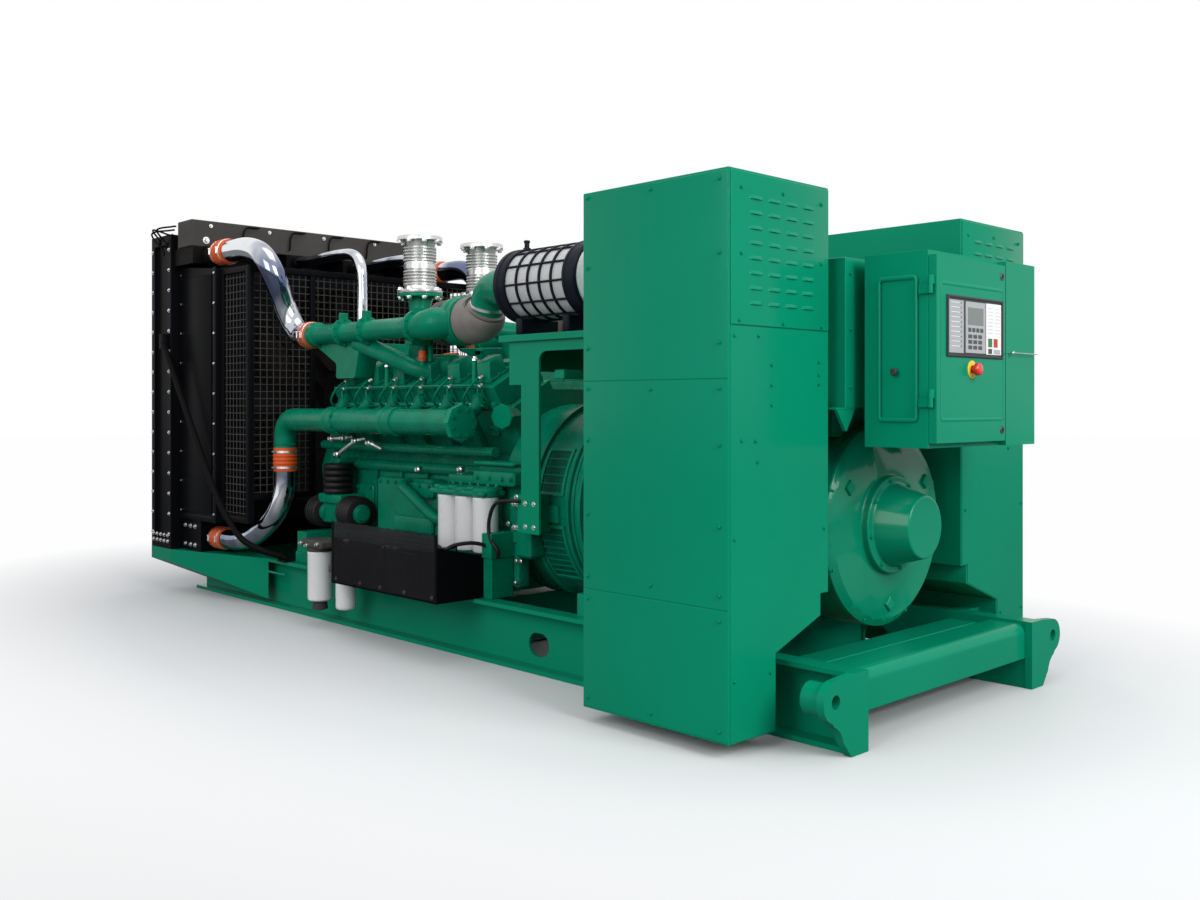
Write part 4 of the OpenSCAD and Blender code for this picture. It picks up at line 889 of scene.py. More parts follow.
manifold_y, manifold_z = 0.64, 1.045
manifold_end, bend_r = -1.2255, 0.095
elbow_x = manifold_end - bend_r
manifolds = Piece("coolant_castings")
profile = [(manifold_end, 0.0615), (-0.850, 0.0615), (-0.836, 0.0640), (-0.834, 0.0715), (-0.812, 0.0715),
           (-0.810, 0.0675), (-0.770, 0.0675), (-0.768, 0.0715), (-0.746, 0.0715), (-0.744, 0.0640),
           (-0.730, 0.0615), (-0.330, 0.0615), (-0.321, 0.0635), (-0.319, 0.0715), (-0.292, 0.0715),
           (-0.290, 0.0675), (-0.240, 0.0675), (-0.238, 0.0715), (-0.212, 0.0715), (-0.210, 0.0635),
           (-0.198, 0.0615), (0.20, 0.0615), (0.240, 0.066), (0.262, 0.074)]
spool = turned(profile, (0, -manifold_y, manifold_z), (1, 0, 0), 40)
end_cap = turned([(0.258, 0.078), (0.262, 0.089), (0.280, 0.090), (0.287, 0.085), (0.290, 0.070)],
                 (0, -manifold_y, manifold_z), (1, 0, 0), 8)
Piece("manifold_caps").pair(end_cap).make(sheet_green, "green_paint")
a = np.radians(np.arange(0, 91, 7.5))
elbow_path = np.stack([manifold_end - bend_r * np.sin(a), 0 * a - manifold_y,
                       manifold_z - bend_r * (1 - np.cos(a))], -1)
elbow_path = np.concatenate([[(-1.20, -manifold_y, manifold_z)], elbow_path,
                             [(elbow_x, -manifold_y, manifold_z - 0.155)]])
elbow = tube(elbow_path, np.linspace(0.062, 0.059, len(elbow_path)), 32)
neck = (elbow_x, -manifold_y, manifold_z - 0.140)
neck_bead = turned([(0, 0.059), (0.004, 0.064), (0.008, 0.059)], neck, (0, 0, 1), 32)
manifolds.pair(spool, elbow, neck_bead)
for x in cylinders:
    branch_line = [(x, -manifold_y + 0.02, manifold_z - 0.01), (x, -0.56, manifold_z + 0.012),
                   (x, -0.50, manifold_z + 0.055), (x, -0.465, manifold_z + 0.10)]
    branch = tube(curved(branch_line, 5), 0.032, 18, (1, 0, 0))
    manifolds.pair(branch)
    for k in (-0.036, 0.036):
        ear = turned([(0, 0.015), (0.05, 0.014)], (x + k, -0.575, manifold_z + 0.045), (0, 1, 0.3), 12)
        manifolds.pair(ear)
flange_bolts = Piece("coolant_bolts")
for x, reach in ((0.290, 0.062), (-0.744, 0.0665)):
    bolt_pairs(flange_bolts, circle((x, -manifold_y, manifold_z), reach, 8, 0.5), (1, 0, 0), 0.012)
manifolds.make(cast_green, "green_paint", replaces=("coolant_manifolds",))
flange_bolts.make(cast_green, "green_paint")

bright = Finish("bright_pipe", Metallic=1.0)
# Painted reflection: the chrome's colour swings in soft patches from a dark blue to near white, standing in
# for dark and light surroundings mirrored in it.
painted_reflection = ((bright.noise(3.2, 3.0, 0.55, (1.0, 1.0, 0.7)) - 0.38) * 4.0).clamped()
bright.feed(Base_Color=bright.blend(painted_reflection, (0.13, 0.16, 0.27), (0.80, 0.82, 0.84)),
            Roughness=bright.noise(14.0, 4.0) * 0.16 + 0.03)
bright.relief(bright.noise(6.0, 2.0), 0.12, 0.004)
bright = bright.material
pipes = Piece("coolant_tubes")
low_path = curved([(elbow_x, -0.64, 0.765), (elbow_x, -0.64, 0.725), (elbow_x - 0.002, -0.643, 0.66),
                   (elbow_x - 0.020, -0.655, 0.59), (elbow_x - 0.058, -0.668, 0.52),
                   (elbow_x - 0.135, -0.69, 0.445), (-1.57, -0.705, 0.384), (-1.70, -0.713, 0.353),
                   (-1.79, -0.715, 0.348), (-1.85, -0.715, 0.348)], 7)
low_pipe = tube(low_path, 0.0565, 36)
pipes.pair(low_pipe)
pipes.make(bright, "bright_pipe", replaces=("coolant_pipes",))

duct_y, air_z = 0.575, 1.505
ducts = Piece("air_duct_castings")
duct_profile = [(-1.1155, 0.0665), (-1.072, 0.0665), (-1.066, 0.056), (-1.05, 0.0515), (-0.834, 0.0515),
                (-0.826, 0.054), (-0.825, 0.0735), (-0.813, 0.0740), (-0.811, 0.054), (-0.803, 0.0515),
                (-0.615, 0.0515), (-0.605, 0.054), (-0.604, 0.0735), (-0.592, 0.0740), (-0.590, 0.054),
                (-0.580, 0.0515), (-0.245, 0.0515), (-0.225, 0.056), (-0.205, 0.060), (-0.180, 0.0605),
                (-0.178, 0.078), (-0.160, 0.078), (-0.158, 0.064), (-0.120, 0.064)]
duct = turned(duct_profile, (0, -duct_y, air_z), (1, 0, 0), 36)
swell_line = curved([(-0.150, -duct_y, air_z), (-0.12, -0.572, air_z + 0.002), (-0.08, -0.560, air_z + 0.006),
                     (-0.04, -0.535, air_z + 0.010), (0.00, -0.49, air_z + 0.014)], 6)
swell = tube(swell_line, np.interp(np.arange(25), [0, 6, 16, 24], [0.060, 0.068, 0.080, 0.070]), 28)
funnel = [(-1.185, 1.472), (-0.680, 1.458), (-0.735, 1.262), (-0.925, 1.262), (-0.920, 1.345)]
flat = np.insert(rounded(funnel, 0.02, 4), 1, 0, axis=1)
middle = np.array([-0.85, 0, 1.36])
drawn_in = middle + (flat - middle) * (0.96, 1, 0.96)
funnel = np.stack([drawn_in - (0, 0.562, 0), flat - (0, 0.548, 0), flat - (0, 0.455, 0),
                   drawn_in - (0, 0.445, 0)])[::-1]
arm_line = curved([(-0.74, -0.53, 1.455), (-0.66, -0.525, 1.425), (-0.50, -0.515, 1.378),
                   (-0.38, -0.50, 1.335), (-0.31, -0.47, 1.305), (-0.27, -0.42, 1.285)], 6)
arm = tube(arm_line, np.interp(np.arange(31), [0, 8, 24, 30], [0.052, 0.047, 0.043, 0.046]), 24)
ducts.pair(duct, swell, funnel, arm)
for x in (-0.819, -0.598):
    ear = bar((x - 0.006, -0.605, air_z + 0.05), (x + 0.006, -0.555, air_z + 0.102), 2, 0.003)
    ducts.pair(ear)
for x in (-0.9955, -0.2955):
    saddle = bar((x, -0.555, air_z - 0.085), (x + 0.06, -0.425, air_z - 0.055), 0, 0.004)
    post = bar((x, -0.442, crank_z + 0.665), (x + 0.06, -0.425, air_z - 0.05), 2, 0.004)
    ducts.pair(saddle, post)
duct_bolts = Piece("air_duct_bolts")
for x, reach, count in ((-0.160, 0.071, 8), (-0.813, 0.065, 10), (-0.592, 0.065, 10)):
    bolt_pairs(duct_bolts, circle((x, -duct_y, air_z), reach, count, 0.5), (1, 0, 0), 0.010)
ducts.make(cast_green, "green_paint", replaces=("charge_air_ducts",))
duct_bolts.make(cast_green, "green_paint")

air_pipes = Piece("charge_air_tubes")
air_path = curved([(-1.745, -0.75, 2.005), (-1.69, -0.75, 2.005), (-1.545, -0.746, 2.000),
                   (-1.43, -0.732, 1.965), (-1.35, -0.72, 1.89), (-1.335, -0.68, 1.79),
                   (-1.36, -0.622, 1.675), (-1.335, -0.585, 1.575), (-1.275, -0.576, 1.515),
                   (-1.225, -0.575, 1.505), (-1.18, -0.575, 1.505)], 8)
air_pipe = tube(air_path, 0.0635, 40)
air_pipes.pair(air_pipe)
air_pipes.make(bright, "bright_pipe", replaces=("charge_air_pipes",))
vent_pipes = Piece("thermostat_tubes")
vent_x, vent_z = -1.2395, 2.002
vent_path = curved([(-1.935, -0.2, vent_z), (-1.80, -0.2, vent_z), (vent_x - 0.25, -0.2, vent_z + 0.006),
                    (vent_x - 0.09, -0.2, vent_z - 0.01), (vent_x - 0.016, -0.2, vent_z - 0.08),
                    (vent_x, -0.2, vent_z - 0.22), (vent_x, -0.2, 1.62), (vent_x, -0.2, 1.48)], 8)
vent_pipe = tube(vent_path, 0.032, 28)
vent_pipes.pair(vent_pipe)
vent_pipes.make(bright, "bright_pipe", replaces=("thermostat_pipes",))

orange = Finish("orange_silicone", Specular_IOR_Level=0.3)
cloth = (orange.noise(70.0, 3.0) * 0.6 + orange.noise(6.0) * 0.4)
orange.feed(Base_Color=orange.blend(cloth, (0.46, 0.058, 0.008), (0.72, 0.105, 0.016)),
            Roughness=orange.noise(30.0) * 0.25 + 0.36)
orange.relief(orange.noise(420.0, 2.0), 0.18, 0.0008)
orange = orange.material
sleeves = Piece("hose_sleeves")
clamps = Piece("hose_clamps")


def sleeve(start, end, inner):
    """A wrapped silicone sleeve, ribbed in its middle, with a worm-drive band near
    each end: a lathe shape on the line between the two pipe mouths."""
    start, end = np.asarray(start, float), np.asarray(end, float)
    length = np.linalg.norm(end - start)
    axis = unit(end - start)
    r = inner + 0.004
    h = np.linspace(0.034, length - 0.034, 33)
    waist = np.stack([h, r + 0.0 * h + 0.004 * np.sin(np.linspace(0, 3 * np.pi, 33)) ** 2], -1)
    line = np.concatenate([[(0, r - 0.002), (0.002, r)], waist, [(length - 0.002, r), (length, r - 0.002)]])
    body = turned(line, start, axis, 36)
    sleeves.pair(body)
    for place in (0.016, length - 0.028):
        band = turned([(place, r), (place + 0.0005, r + 0.0025), (place + 0.0115, r + 0.0025),
                       (place + 0.012, r)], start, axis, 36)
        clamps.pair(band)
        side, up = across(axis)
        spot = start + axis * (place + 0.006) - side * (r + 0.006)
        screw = turned([(-0.016, 0.006), (0.012, 0.006), (0.014, 0.008), (0.020, 0.008)], spot, up, 10)
        clamps.pair(screw)


sleeve((-1.875, -0.75, 2.005), (-1.745, -0.75, 2.005), 0.0675)
sleeve((-1.195, -duct_y, air_z), (-1.1155, -duct_y, air_z), 0.0665)
sleeve((elbow_x, -0.64, manifold_z - 0.155), (elbow_x, -0.64, manifold_z - 0.285), 0.059)
sleeve((-1.98, -0.715, 0.348), (-1.85, -0.715, 0.348), 0.059)
drain_hose = [(-0.274, -0.462, 1.345), (-0.274, -0.462, 1.360), (-0.274, -0.461, 1.378),
              (-0.274, -0.460, 1.395)]
vee_hose = [(-1.125, -0.30, 1.418), (-1.09, -0.302, 1.420), (-1.05, -0.303, 1.421), (-1.00, -0.30, 1.420)]
for run, thick in ((drain_hose, 0.021), (vee_hose, 0.015)):
    small = tube(curved(run, 4), thick, 18, (0, 0, 1))
    sleeves.pair(small)
sleeves.make(orange, "orange_hose", replaces=("hose_couplings",))
clamps.make(zinc, "bellows_steel")


# ------------------------------------------------------------------ turbochargers and exhaust
# Each bank feeds one turbocharger: an iron turbine, an aluminium compressor. Elbows
# of green iron carry the spent gas up to stainless bellows with bolted flanges.

iron = cast_paint("turbo_iron", (0.075, 0.06, 0.05), 0.5)
alloy = Finish("sand_cast_alloy", Specular_IOR_Level=0.35)
alloy.feed(Base_Color=alloy.blend(alloy.noise(18.0, 5.0), (0.13, 0.118, 0.108), (0.22, 0.20, 0.185)),
           Roughness=alloy.noise(60.0) * 0.25 + 0.45)
alloy.relief(alloy.noise(260.0, 3.0), 0.25, 0.0008)
alloy = alloy.material

turbo_y, turbine_y, turbo_z = 0.43, 0.40, 1.53


def volute(centre_x, y, radius, start_r, end_r, start, sweep, n=18):
    """A snail: circles on an arc about the shaft, their radius growing evenly from
    the tongue to the mouth."""
    t = np.linspace(0, 1, 44)
    angle = math.radians(start) + math.radians(sweep) * t
    size = start_r + (end_r - start_r) * t
    reach = radius - size
    path = np.stack([0 * t + centre_x, y + reach * np.cos(angle), turbo_z + reach * np.sin(angle)], -1)
    return tube(path, size, n, (1, 0, 0))


compressors = Piece("compressor_housings")
turbines = Piece("turbine_housings")
turbo_bolts = Piece("turbo_bolts")
snail = volute(0.005, -turbo_y, 0.122, 0.024, 0.054, 100, 330)
shroud_ring = turned([(-0.052, 0.060), (-0.050, 0.108), (-0.044, 0.114), (0.050, 0.119), (0.056, 0.114),
                      (0.058, 0.100)], (0, -turbo_y, turbo_z), (1, 0, 0), 44)
bell_spine = curved([(0.060, -turbo_y, turbo_z), (0.075, -turbo_y, turbo_z), (0.105, -turbo_y, turbo_z),
                     (0.150, -turbo_y, turbo_z + 0.004), (0.182, -turbo_y - 0.003, turbo_z + 0.018),
                     (0.201, -turbo_y - 0.007, turbo_z + 0.038)], 5)
bell = tube(bell_spine, np.interp(np.arange(26), [0, 2, 8, 14, 20, 25],
                                  [0.104, 0.113, 0.1145, 0.113, 0.104, 0.092]), 44)
turbines.pair(snail, shroud_ring)
turbines.make(cast_green, "green_paint")
rim = turned([(-0.004, 0.086), (-0.002, 0.0935), (0.006, 0.0935), (0.008, 0.086)],
             (0.203, -turbo_y - 0.0075, turbo_z + 0.041), (0.62, -0.12, 0.78), 44)
compressors.pair(bell, rim)
compressors.make(alloy, "cleaner_media")
hot_side = Piece("turbine_volutes")
middle = turned([(-0.120, 0.060), (-0.112, 0.074), (-0.100, 0.076), (-0.096, 0.052), (-0.066, 0.050),
                 (-0.060, 0.072), (-0.050, 0.080)], (0, -turbo_y + 0.015, turbo_z), (1, 0, 0), 32)
hot = volute(-0.160, -turbine_y, 0.112, 0.020, 0.046, 200, 320)
shield = turned([(-0.214, 0.056), (-0.212, 0.080), (-0.204, 0.098), (-0.180, 0.110), (-0.140, 0.113),
                 (-0.122, 0.106), (-0.118, 0.070)], (0, -turbine_y, turbo_z), (1, 0, 0), 36)
hot_side.pair(middle, hot, shield)
hot_side.make(iron, "turbo_iron", replaces=("turbochargers",))
bolt_pairs(turbo_bolts, circle((-0.050, -turbo_y, turbo_z), 0.100, 12), (-1, 0, 0), 0.010, False)
turbo_bolts.make(zinc, "bellows_steel")

stack_x, stack_y = -0.655, 0.21
elbows = Piece("exhaust_castings")
riser = curved([(-0.205, -0.40, 1.53), (-0.25, -0.40, 1.53), (-0.36, -0.375, 1.528), (-0.48, -0.325, 1.53),
                (-0.575, -0.265, 1.55), (-0.64, -0.222, 1.61), (-0.655, -0.21, 1.68),
                (-0.655, -0.21, 1.712)], 7)
riser_bend = tube(riser, np.interp(np.arange(50), [0, 36, 49], [0.050, 0.054, 0.074]), 32)
drop_line = [(-0.50, -0.30, 1.50), (-0.52, -0.31, 1.44), (-0.50, -0.33, 1.36), (-0.46, -0.345, 1.26)]
drop = tube(curved(drop_line, 6), 0.05, 24)
log = turned([(0, 0.046), (0.01, 0.052), (0.60, 0.052), (0.61, 0.046)], (-0.78, -0.335, 1.33), (1, 0, 0), 24)
collar = turned([(1.700, 0.076), (1.702, 0.119), (1.705, 0.120), (1.716, 0.120), (1.7195, 0.118)],
                (stack_x, -stack_y, 0), (0, 0, 1), 44)
elbows.pair(riser_bend, drop, log, collar)
for x in cylinders:
    stub = tube(curved([(x, -0.30, 1.20), (x, -0.315, 1.26), (x, -0.32, 1.33)], 4), 0.03, 14, (1, 0, 0))
    elbows.pair(stub)
drain = tube(curved([(-0.274, -0.462, 1.18), (-0.274, -0.462, 1.30), (-0.274, -0.461, 1.40),
                     (-0.262, -0.455, 1.47)], 5), 0.016, 16, (1, 0, 0))
elbows.pair(drain)
elbows.make(cast_green, "green_paint", replaces=("exhaust_elbows",), sharp=40)

stainless = Finish("stainless", Metallic=1.0)
heat = stainless.noise(4.0, 3.0)
stainless.feed(Base_Color=stainless.blend(heat, (0.50, 0.50, 0.49), (0.78, 0.78, 0.77)),
               Roughness=stainless.noise(50.0, 3.0) * 0.22 + 0.2)
stainless = stainless.material
bellow_line = [(1.7205, 0.076), (1.7205, 0.119), (1.723, 0.120), (1.736, 0.120), (1.738, 0.117),
               (1.739, 0.086), (1.748, 0.0815), (1.758, 0.0815)]
for start in (1.762, 1.888):
    for base in start + 0.0165 * np.arange(5):
        bellow_line += [(base + 0.0075 + 0.0062 * math.sin(b), 0.0805 + 0.0085 * math.cos(b))
                        for b in np.radians(np.linspace(-90, 90, 9))]
        bellow_line += [(base + 0.0148, 0.0785)]
    if start < 1.8:
        bellow_line += [(1.850, 0.0815), (1.852, 0.0850), (1.878, 0.0850), (1.880, 0.0815)]
bellow_line += [(1.980, 0.0815), (1.992, 0.084), (2.001, 0.088), (2.002, 0.117), (2.004, 0.120),
                (2.022, 0.120), (2.0248, 0.118)]
inner = [(2.0248, 0.0762), (1.99, 0.0762), (1.86, 0.0765), (1.73, 0.0762)]
bellows = Piece("bellows_shells")
tall = turned(bellow_line + inner, (stack_x, -stack_y, 0), (0, 0, 1), 72)
bellows.pair(tall, caps=False)
bellows.make(stainless, "bellows_steel", replaces=("exhaust_bellows",), sharp=50)
studs = Piece("bellows_bolts")
turn = 2 * np.pi * (np.arange(8) + 0.5) / 8
for y in (-stack_y, stack_y):
    ring = np.stack([stack_x + 0.105 * np.cos(turn), y + 0.105 * np.sin(turn), 0 * turn], -1)
    for z, way, head in ((1.738, 1, 0.024), (1.701, -1, 0.022), (2.002, -1, 0.024)):
        bolts(studs, ring + (0, 0, z), (0, 0, way), head)
studs.make(zinc, "bellows_steel")


# ------------------------------------------------------------------ air cleaners
# Dry cartridges lie along the top on a bolted green shelf: pleated paper behind
# pale punched metal, inside a moulded black cage with solid end rings.

cleaner_x0, cleaner_x1 = 0.530, 1.050
cleaner_y, cleaner_z, cleaner_r = 0.50, 1.65, 0.165
media = Finish("punched_metal", Metallic=0.2, Roughness=0.42, Specular_IOR_Level=0.4)
place_x, place_y, place_z = media.axes()
around = media.node("ShaderNodeMath", {"operation": "ARCTAN2"},
                    {0: place_z - cleaner_z, 1: (place_y.maths("ABSOLUTE", place_y) - cleaner_y)})
dots = (place_x.wave(110.0) * around.wave(16.0)) > 0.28
media.feed(Base_Color=media.blend(dots, (0.60, 0.61, 0.61), (0.20, 0.20, 0.195)))
media.relief(dots, 0.4, 0.0008)
media = media.material
can_white = mottled("can_white", 3.0, (0.70, 0.70, 0.70), (0.86, 0.86, 0.86), 30.0, 0.15, 0.22,
                    Coat_Weight=0.5, Coat_Roughness=0.08)
core = Piece("cleaner_cores")
body = turned([(0.0, 0.120), (0.003, 0.152), (0.501, 0.152), (0.505, 0.148), (0.506, 0.130)],
              (cleaner_x0 + 0.0005, -cleaner_y, cleaner_z), (1, 0, 0), 64)
core.pair(body)
core.make(media, "cleaner_media", replaces=("air_cleaners",))
discs = Piece("cleaner_discs")
disc = turned([(0.503, 0.149), (0.510, 0.147), (0.514, 0.138), (0.5135, 0.128), (0.511, 0.122),
               (0.511, 0.064), (0.515, 0.058), (0.5175, 0.050), (0.5175, 0.030)],
              (cleaner_x0 + 0.0005, -cleaner_y, cleaner_z), (1, 0, 0), 64)
discs.pair(disc)
discs.make(can_white, "cleaner_media")

moulded = mottled("moulded_black", 5.0, (0.004, 0.005, 0.009), (0.008, 0.010, 0.018), 40.0, 0.2, 0.28,
                  (180.0, 0.08, 0.0006), Specular_IOR_Level=0.1)
cage = Piece("cleaner_cages")
wide, rod_r = 0.075, 0.1565
for x, way in ((cleaner_x0, 1), (cleaner_x1, -1)):
    ring = [(0.0, 0.148), (0.0, 0.157), (0.004, cleaner_r - 0.001), (0.026, cleaner_r - 0.0005),
            (0.029, 0.161), (wide - 0.016, 0.161), (wide - 0.013, cleaner_r - 0.001),
            (wide - 0.001, cleaner_r - 0.002), (wide, 0.1535)]
    cage.pair(turned(ring, (x, -cleaner_y, cleaner_z), (way, 0, 0), 64), caps=False)
for x in np.linspace(cleaner_x0 + wide, cleaner_x1 - wide, 6)[1:-1]:
    hoop = turned([(-0.0055, 0.1525), (-0.0045, 0.1600), (0.0045, 0.1600), (0.0055, 0.1525)],
                  (x, -cleaner_y, cleaner_z), (1, 0, 0), 64)
    cage.pair(hoop, caps=False)
for turn_at in np.radians(np.arange(0, 360, 30) + 4):
    rod_y = -cleaner_y + rod_r * math.cos(turn_at)
    rod_z = cleaner_z + rod_r * math.sin(turn_at)
    rib = tube(rows((cleaner_x0 + 0.03, 0.79, cleaner_x1 - 0.03), rod_y, rod_z), 0.0048, 8)
    cage.pair(rib)
for x in (0.620, 0.920):
    foot = bar((x, -cleaner_y - 0.11, 1.431), (x + 0.04, -cleaner_y + 0.11, 1.500), 0, 0.006)
    cage.pair(foot)
cage.make(moulded, "black_paint")

# Screwed service indicators stand on the first ring.
gauge = Piece("cleaner_gauges")
stem = turned([(0, 0.017), (0.012, 0.017), (0.014, 0.011), (0.034, 0.011), (0.036, 0.014), (0.044, 0.014),
               (0.046, 0.011)], (cleaner_x0 + 0.028, -cleaner_y + 0.01, cleaner_z + 0.160), (0, 0, 1), 16)
gauge.pair(stem)
gauge.make(moulded, "black_paint")

# A green rubber elbow climbs from the compressor bell to the cartridge outlet.
inlets = Piece("cleaner_inlets")
inlet_path = curved([(0.196, -0.436, 1.555), (0.205, -0.438, 1.575), (0.217, -0.442, 1.606),
                     (0.240, -0.448, 1.642), (0.290, -0.460, 1.664), (0.36, -0.475, 1.664),
                     (0.44, -0.488, 1.655), (0.49, -0.497, 1.651), (0.540, -0.50, 1.65)], 6)
inlet = tube(inlet_path, np.interp(np.arange(len(inlet_path)), [0, 12, 24, 36, 42, 48],
                                   [0.078, 0.077, 0.077, 0.090, 0.104, 0.118]), 40)
inlets.pair(inlet)
inlets.make(cast_green, "green_paint")
inlet_bands = Piece("inlet_bands")
band = [(0, 0.078), (0.0005, 0.082), (0.0135, 0.082), (0.014, 0.078)]
inlet_bands.pair(turned(band, (0.207, -0.439, 1.580), (0.40, -0.10, 0.92), 40))
inlet_bands.make(zinc, "bellows_steel")

softened("air_cleaner_shelf", sheet_green, 0.0022)
web = Piece("shelf_web")
web.grid(bar((0.62, -0.011, 1.13), (1.44, 0.011, 1.402), 0, 0.003))
web.grid(bar((0.82, -0.562, 1.235), (0.88, 0.562, 1.275), 1, 0.004))
web.grid(bar((0.545, -0.570, 1.275), (0.557, 0.570, 1.402), 1, 0.002))
web.make(sheet_green, "green_paint")
shelf_bolts = Piece("shelf_bolts")
for side in (-1, 1):
    bolts(shelf_bolts, rows((0.665, 0.72, 1.115, 1.17), side * 0.590, (0.60, 0.70)), (0, side, 0), 0.013)
shelf_bolts.make(zinc, "bellows_steel")


# ------------------------------------------------------------------ filters, drive and batteries
# Spin-on canisters of white enamelled steel hang from green heads. Two batteries sit
# in a black angle-iron tray by the left rail behind a clear plastic shield.

cans = Piece("filter_cans")
heads = Piece("filter_heads")
head_bolts = Piece("filter_bolts")


def canister(x, y, top, length, radius):
    """A drawn can hung from its rolled seam: a lathe shape with a domed, dished foot."""
    line = [(0, radius * 0.90), (0.002, radius * 0.985), (0.004, radius * 1.02), (0.014, radius * 1.02),
            (0.017, radius), (length - 0.02, radius), (length - 0.009, radius * 0.97),
            (length - 0.003, radius * 0.88), (length, radius * 0.74), (length - 0.001, radius * 0.62),
            (length - 0.008, radius * 0.5)]
    return turned(line, (x, y, top), (0, 0, -1), 40)


for i in range(3):
    x = 0.088 + 0.132 * i
    can = canister(x, -0.56, 0.710, 0.255, 0.0585)
    cans.pair(can)
    cup = [(0, 0.060), (0.004, 0.065), (0.028, 0.066), (0.040, 0.056), (0.044, 0.04)]
    heads.pair(turned(cup, (x, -0.56, 0.711), (0, 0, 1), 32))
    bolt_pairs(head_bolts, rows((x - 0.03, x + 0.03), -0.52, 0.755), (0, 0, 1), 0.016)
for low, high in (((0.0, -0.622, 0.7115), (0.408, -0.485, 0.738)),
                  ((0.006, -0.60, 0.73), (0.402, -0.495, 0.7545)),
                  ((0.010, -0.50, 0.712), (0.33, -0.332, 0.752))):
    block = bar(low, high, 0, 0.008, 3)
    heads.pair(block)
heads.make(cast_green, "green_paint")
head_bolts.make(cast_green, "green_paint")
cans.make(can_white, "filter_paint", replaces=("oil_filters",))

fuel_cans = Piece("fuel_cans")
fuel_x = -0.764
fuel_cans.grid(canister(fuel_x, -0.750, 0.382, 0.255, 0.0625))
fuel_cans.grid(canister(fuel_x + 0.23, -0.740, 0.275, 0.165, 0.0505))
fuel_cans.make(can_white, "filter_paint")
fuel_heads = Piece("fuel_heads")
for low, high in (((fuel_x - 0.090, -0.810, 0.400), (fuel_x + 0.110, -0.700, 0.440)),
                  ((fuel_x - 0.060, -0.702, 0.266), (fuel_x + 0.060, -0.664, 0.440)),
                  ((fuel_x + 0.060, -0.692, 0.266), (fuel_x + 0.280, -0.664, 0.330)),
                  ((fuel_x + 0.160, -0.800, 0.292), (fuel_x + 0.280, -0.690, 0.330))):
    fuel_heads.grid(bar(low, high, 0, 0.008, 3))
for x, y, z, r in ((fuel_x, -0.750, 0.380, 0.0625), (fuel_x + 0.23, -0.740, 0.272, 0.0525)):
    cup = [(0, r), (0.014, r), (0.018, r * 0.9), (0.024, r * 0.82)]
    fuel_heads.grid(turned(cup, (x, y, z), (0, 0, 1), 32))
fuel_heads.grid(turned([(0, 0.026), (0.006, 0.036), (0.045, 0.040), (0.052, 0.020)],
                       (fuel_x, -0.750, 0.131), (0, 0, -1), 24))
fuel_heads.make(dusty_black, "black_paint", replaces=("fuel_filter",))
fuel_screws = Piece("fuel_screws")
fuel_screw = [(-0.004, 0.009), (0.008, 0.009), (0.010, 0.006), (0.018, 0.006)]
for dx, z in ((-0.075, 0.42), (-0.02, 0.412), (0.085, 0.425)):
    fuel_screws.grid(turned(fuel_screw, (fuel_x + dx, -0.812, z), (0, -1, 0), 12))
fuel_screws.make(zinc, "bellows_steel")

case_black = mottled("battery_case", 7.0, (0.005, 0.005, 0.0053), (0.012, 0.012, 0.0125), 50.0, 0.2, 0.25,
                     (300.0, 0.15, 0.0005), Specular_IOR_Level=0.1)
battery_low, battery_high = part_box("batteries")
cases = Piece("battery_cases")
lids = Piece("battery_lids")
poles = Piece("battery_poles")
middle = (battery_low.x + battery_high.x) / 2
for x0, x1 in ((battery_low.x + 0.002, middle - 0.006), (middle + 0.006, battery_high.x - 0.002)):
    cases.grid(bar((x0, battery_low.y + 0.003, battery_low.z + 0.001),
                   (x1, battery_high.y - 0.003, battery_high.z - 0.055), 2, 0.007, 3))
    lids.grid(bar((x0 - 0.001, battery_low.y + 0.0005, battery_high.z - 0.056),
                  (x1 + 0.001, battery_high.y - 0.0005, battery_high.z - 0.022), 2, 0.006, 3))
    lids.grid(bar((x0 + 0.05, battery_low.y + 0.05, battery_high.z - 0.024),
                  (x1 - 0.05, battery_high.y - 0.05, battery_high.z - 0.006), 2, 0.006, 3))
    for k in range(6):
        x = x0 + 0.075 + k * (x1 - x0 - 0.15) / 5
        lids.grid(turned([(0, 0.014), (0.006, 0.014), (0.008, 0.012)],
                         (x, (battery_low.y + battery_high.y) / 2, battery_high.z - 0.0075), (0, 0, 1), 16))
        cases.grid(bar((x - 0.004, battery_low.y + 0.001, battery_low.z + 0.02),
                       (x + 0.004, battery_low.y + 0.006, battery_high.z - 0.07), 2, 0.001))
    for x in (x0 + 0.028, x1 - 0.028):
        poles.grid(turned([(0, 0.011), (0.016, 0.0095), (0.018, 0.007)],
                          (x, battery_low.y + 0.035, battery_high.z - 0.0225), (0, 0, 1), 16))
        poles.grid(bar((x - 0.016, battery_low.y + 0.018, battery_high.z - 0.018),
                       (x + 0.016, battery_low.y + 0.052, battery_high.z - 0.008), 2, 0.002))
cases.make(case_black, "battery_case", replaces=("batteries",))
lids.make(case_black, "battery_case")
poles.make(zinc, "bellows_steel")

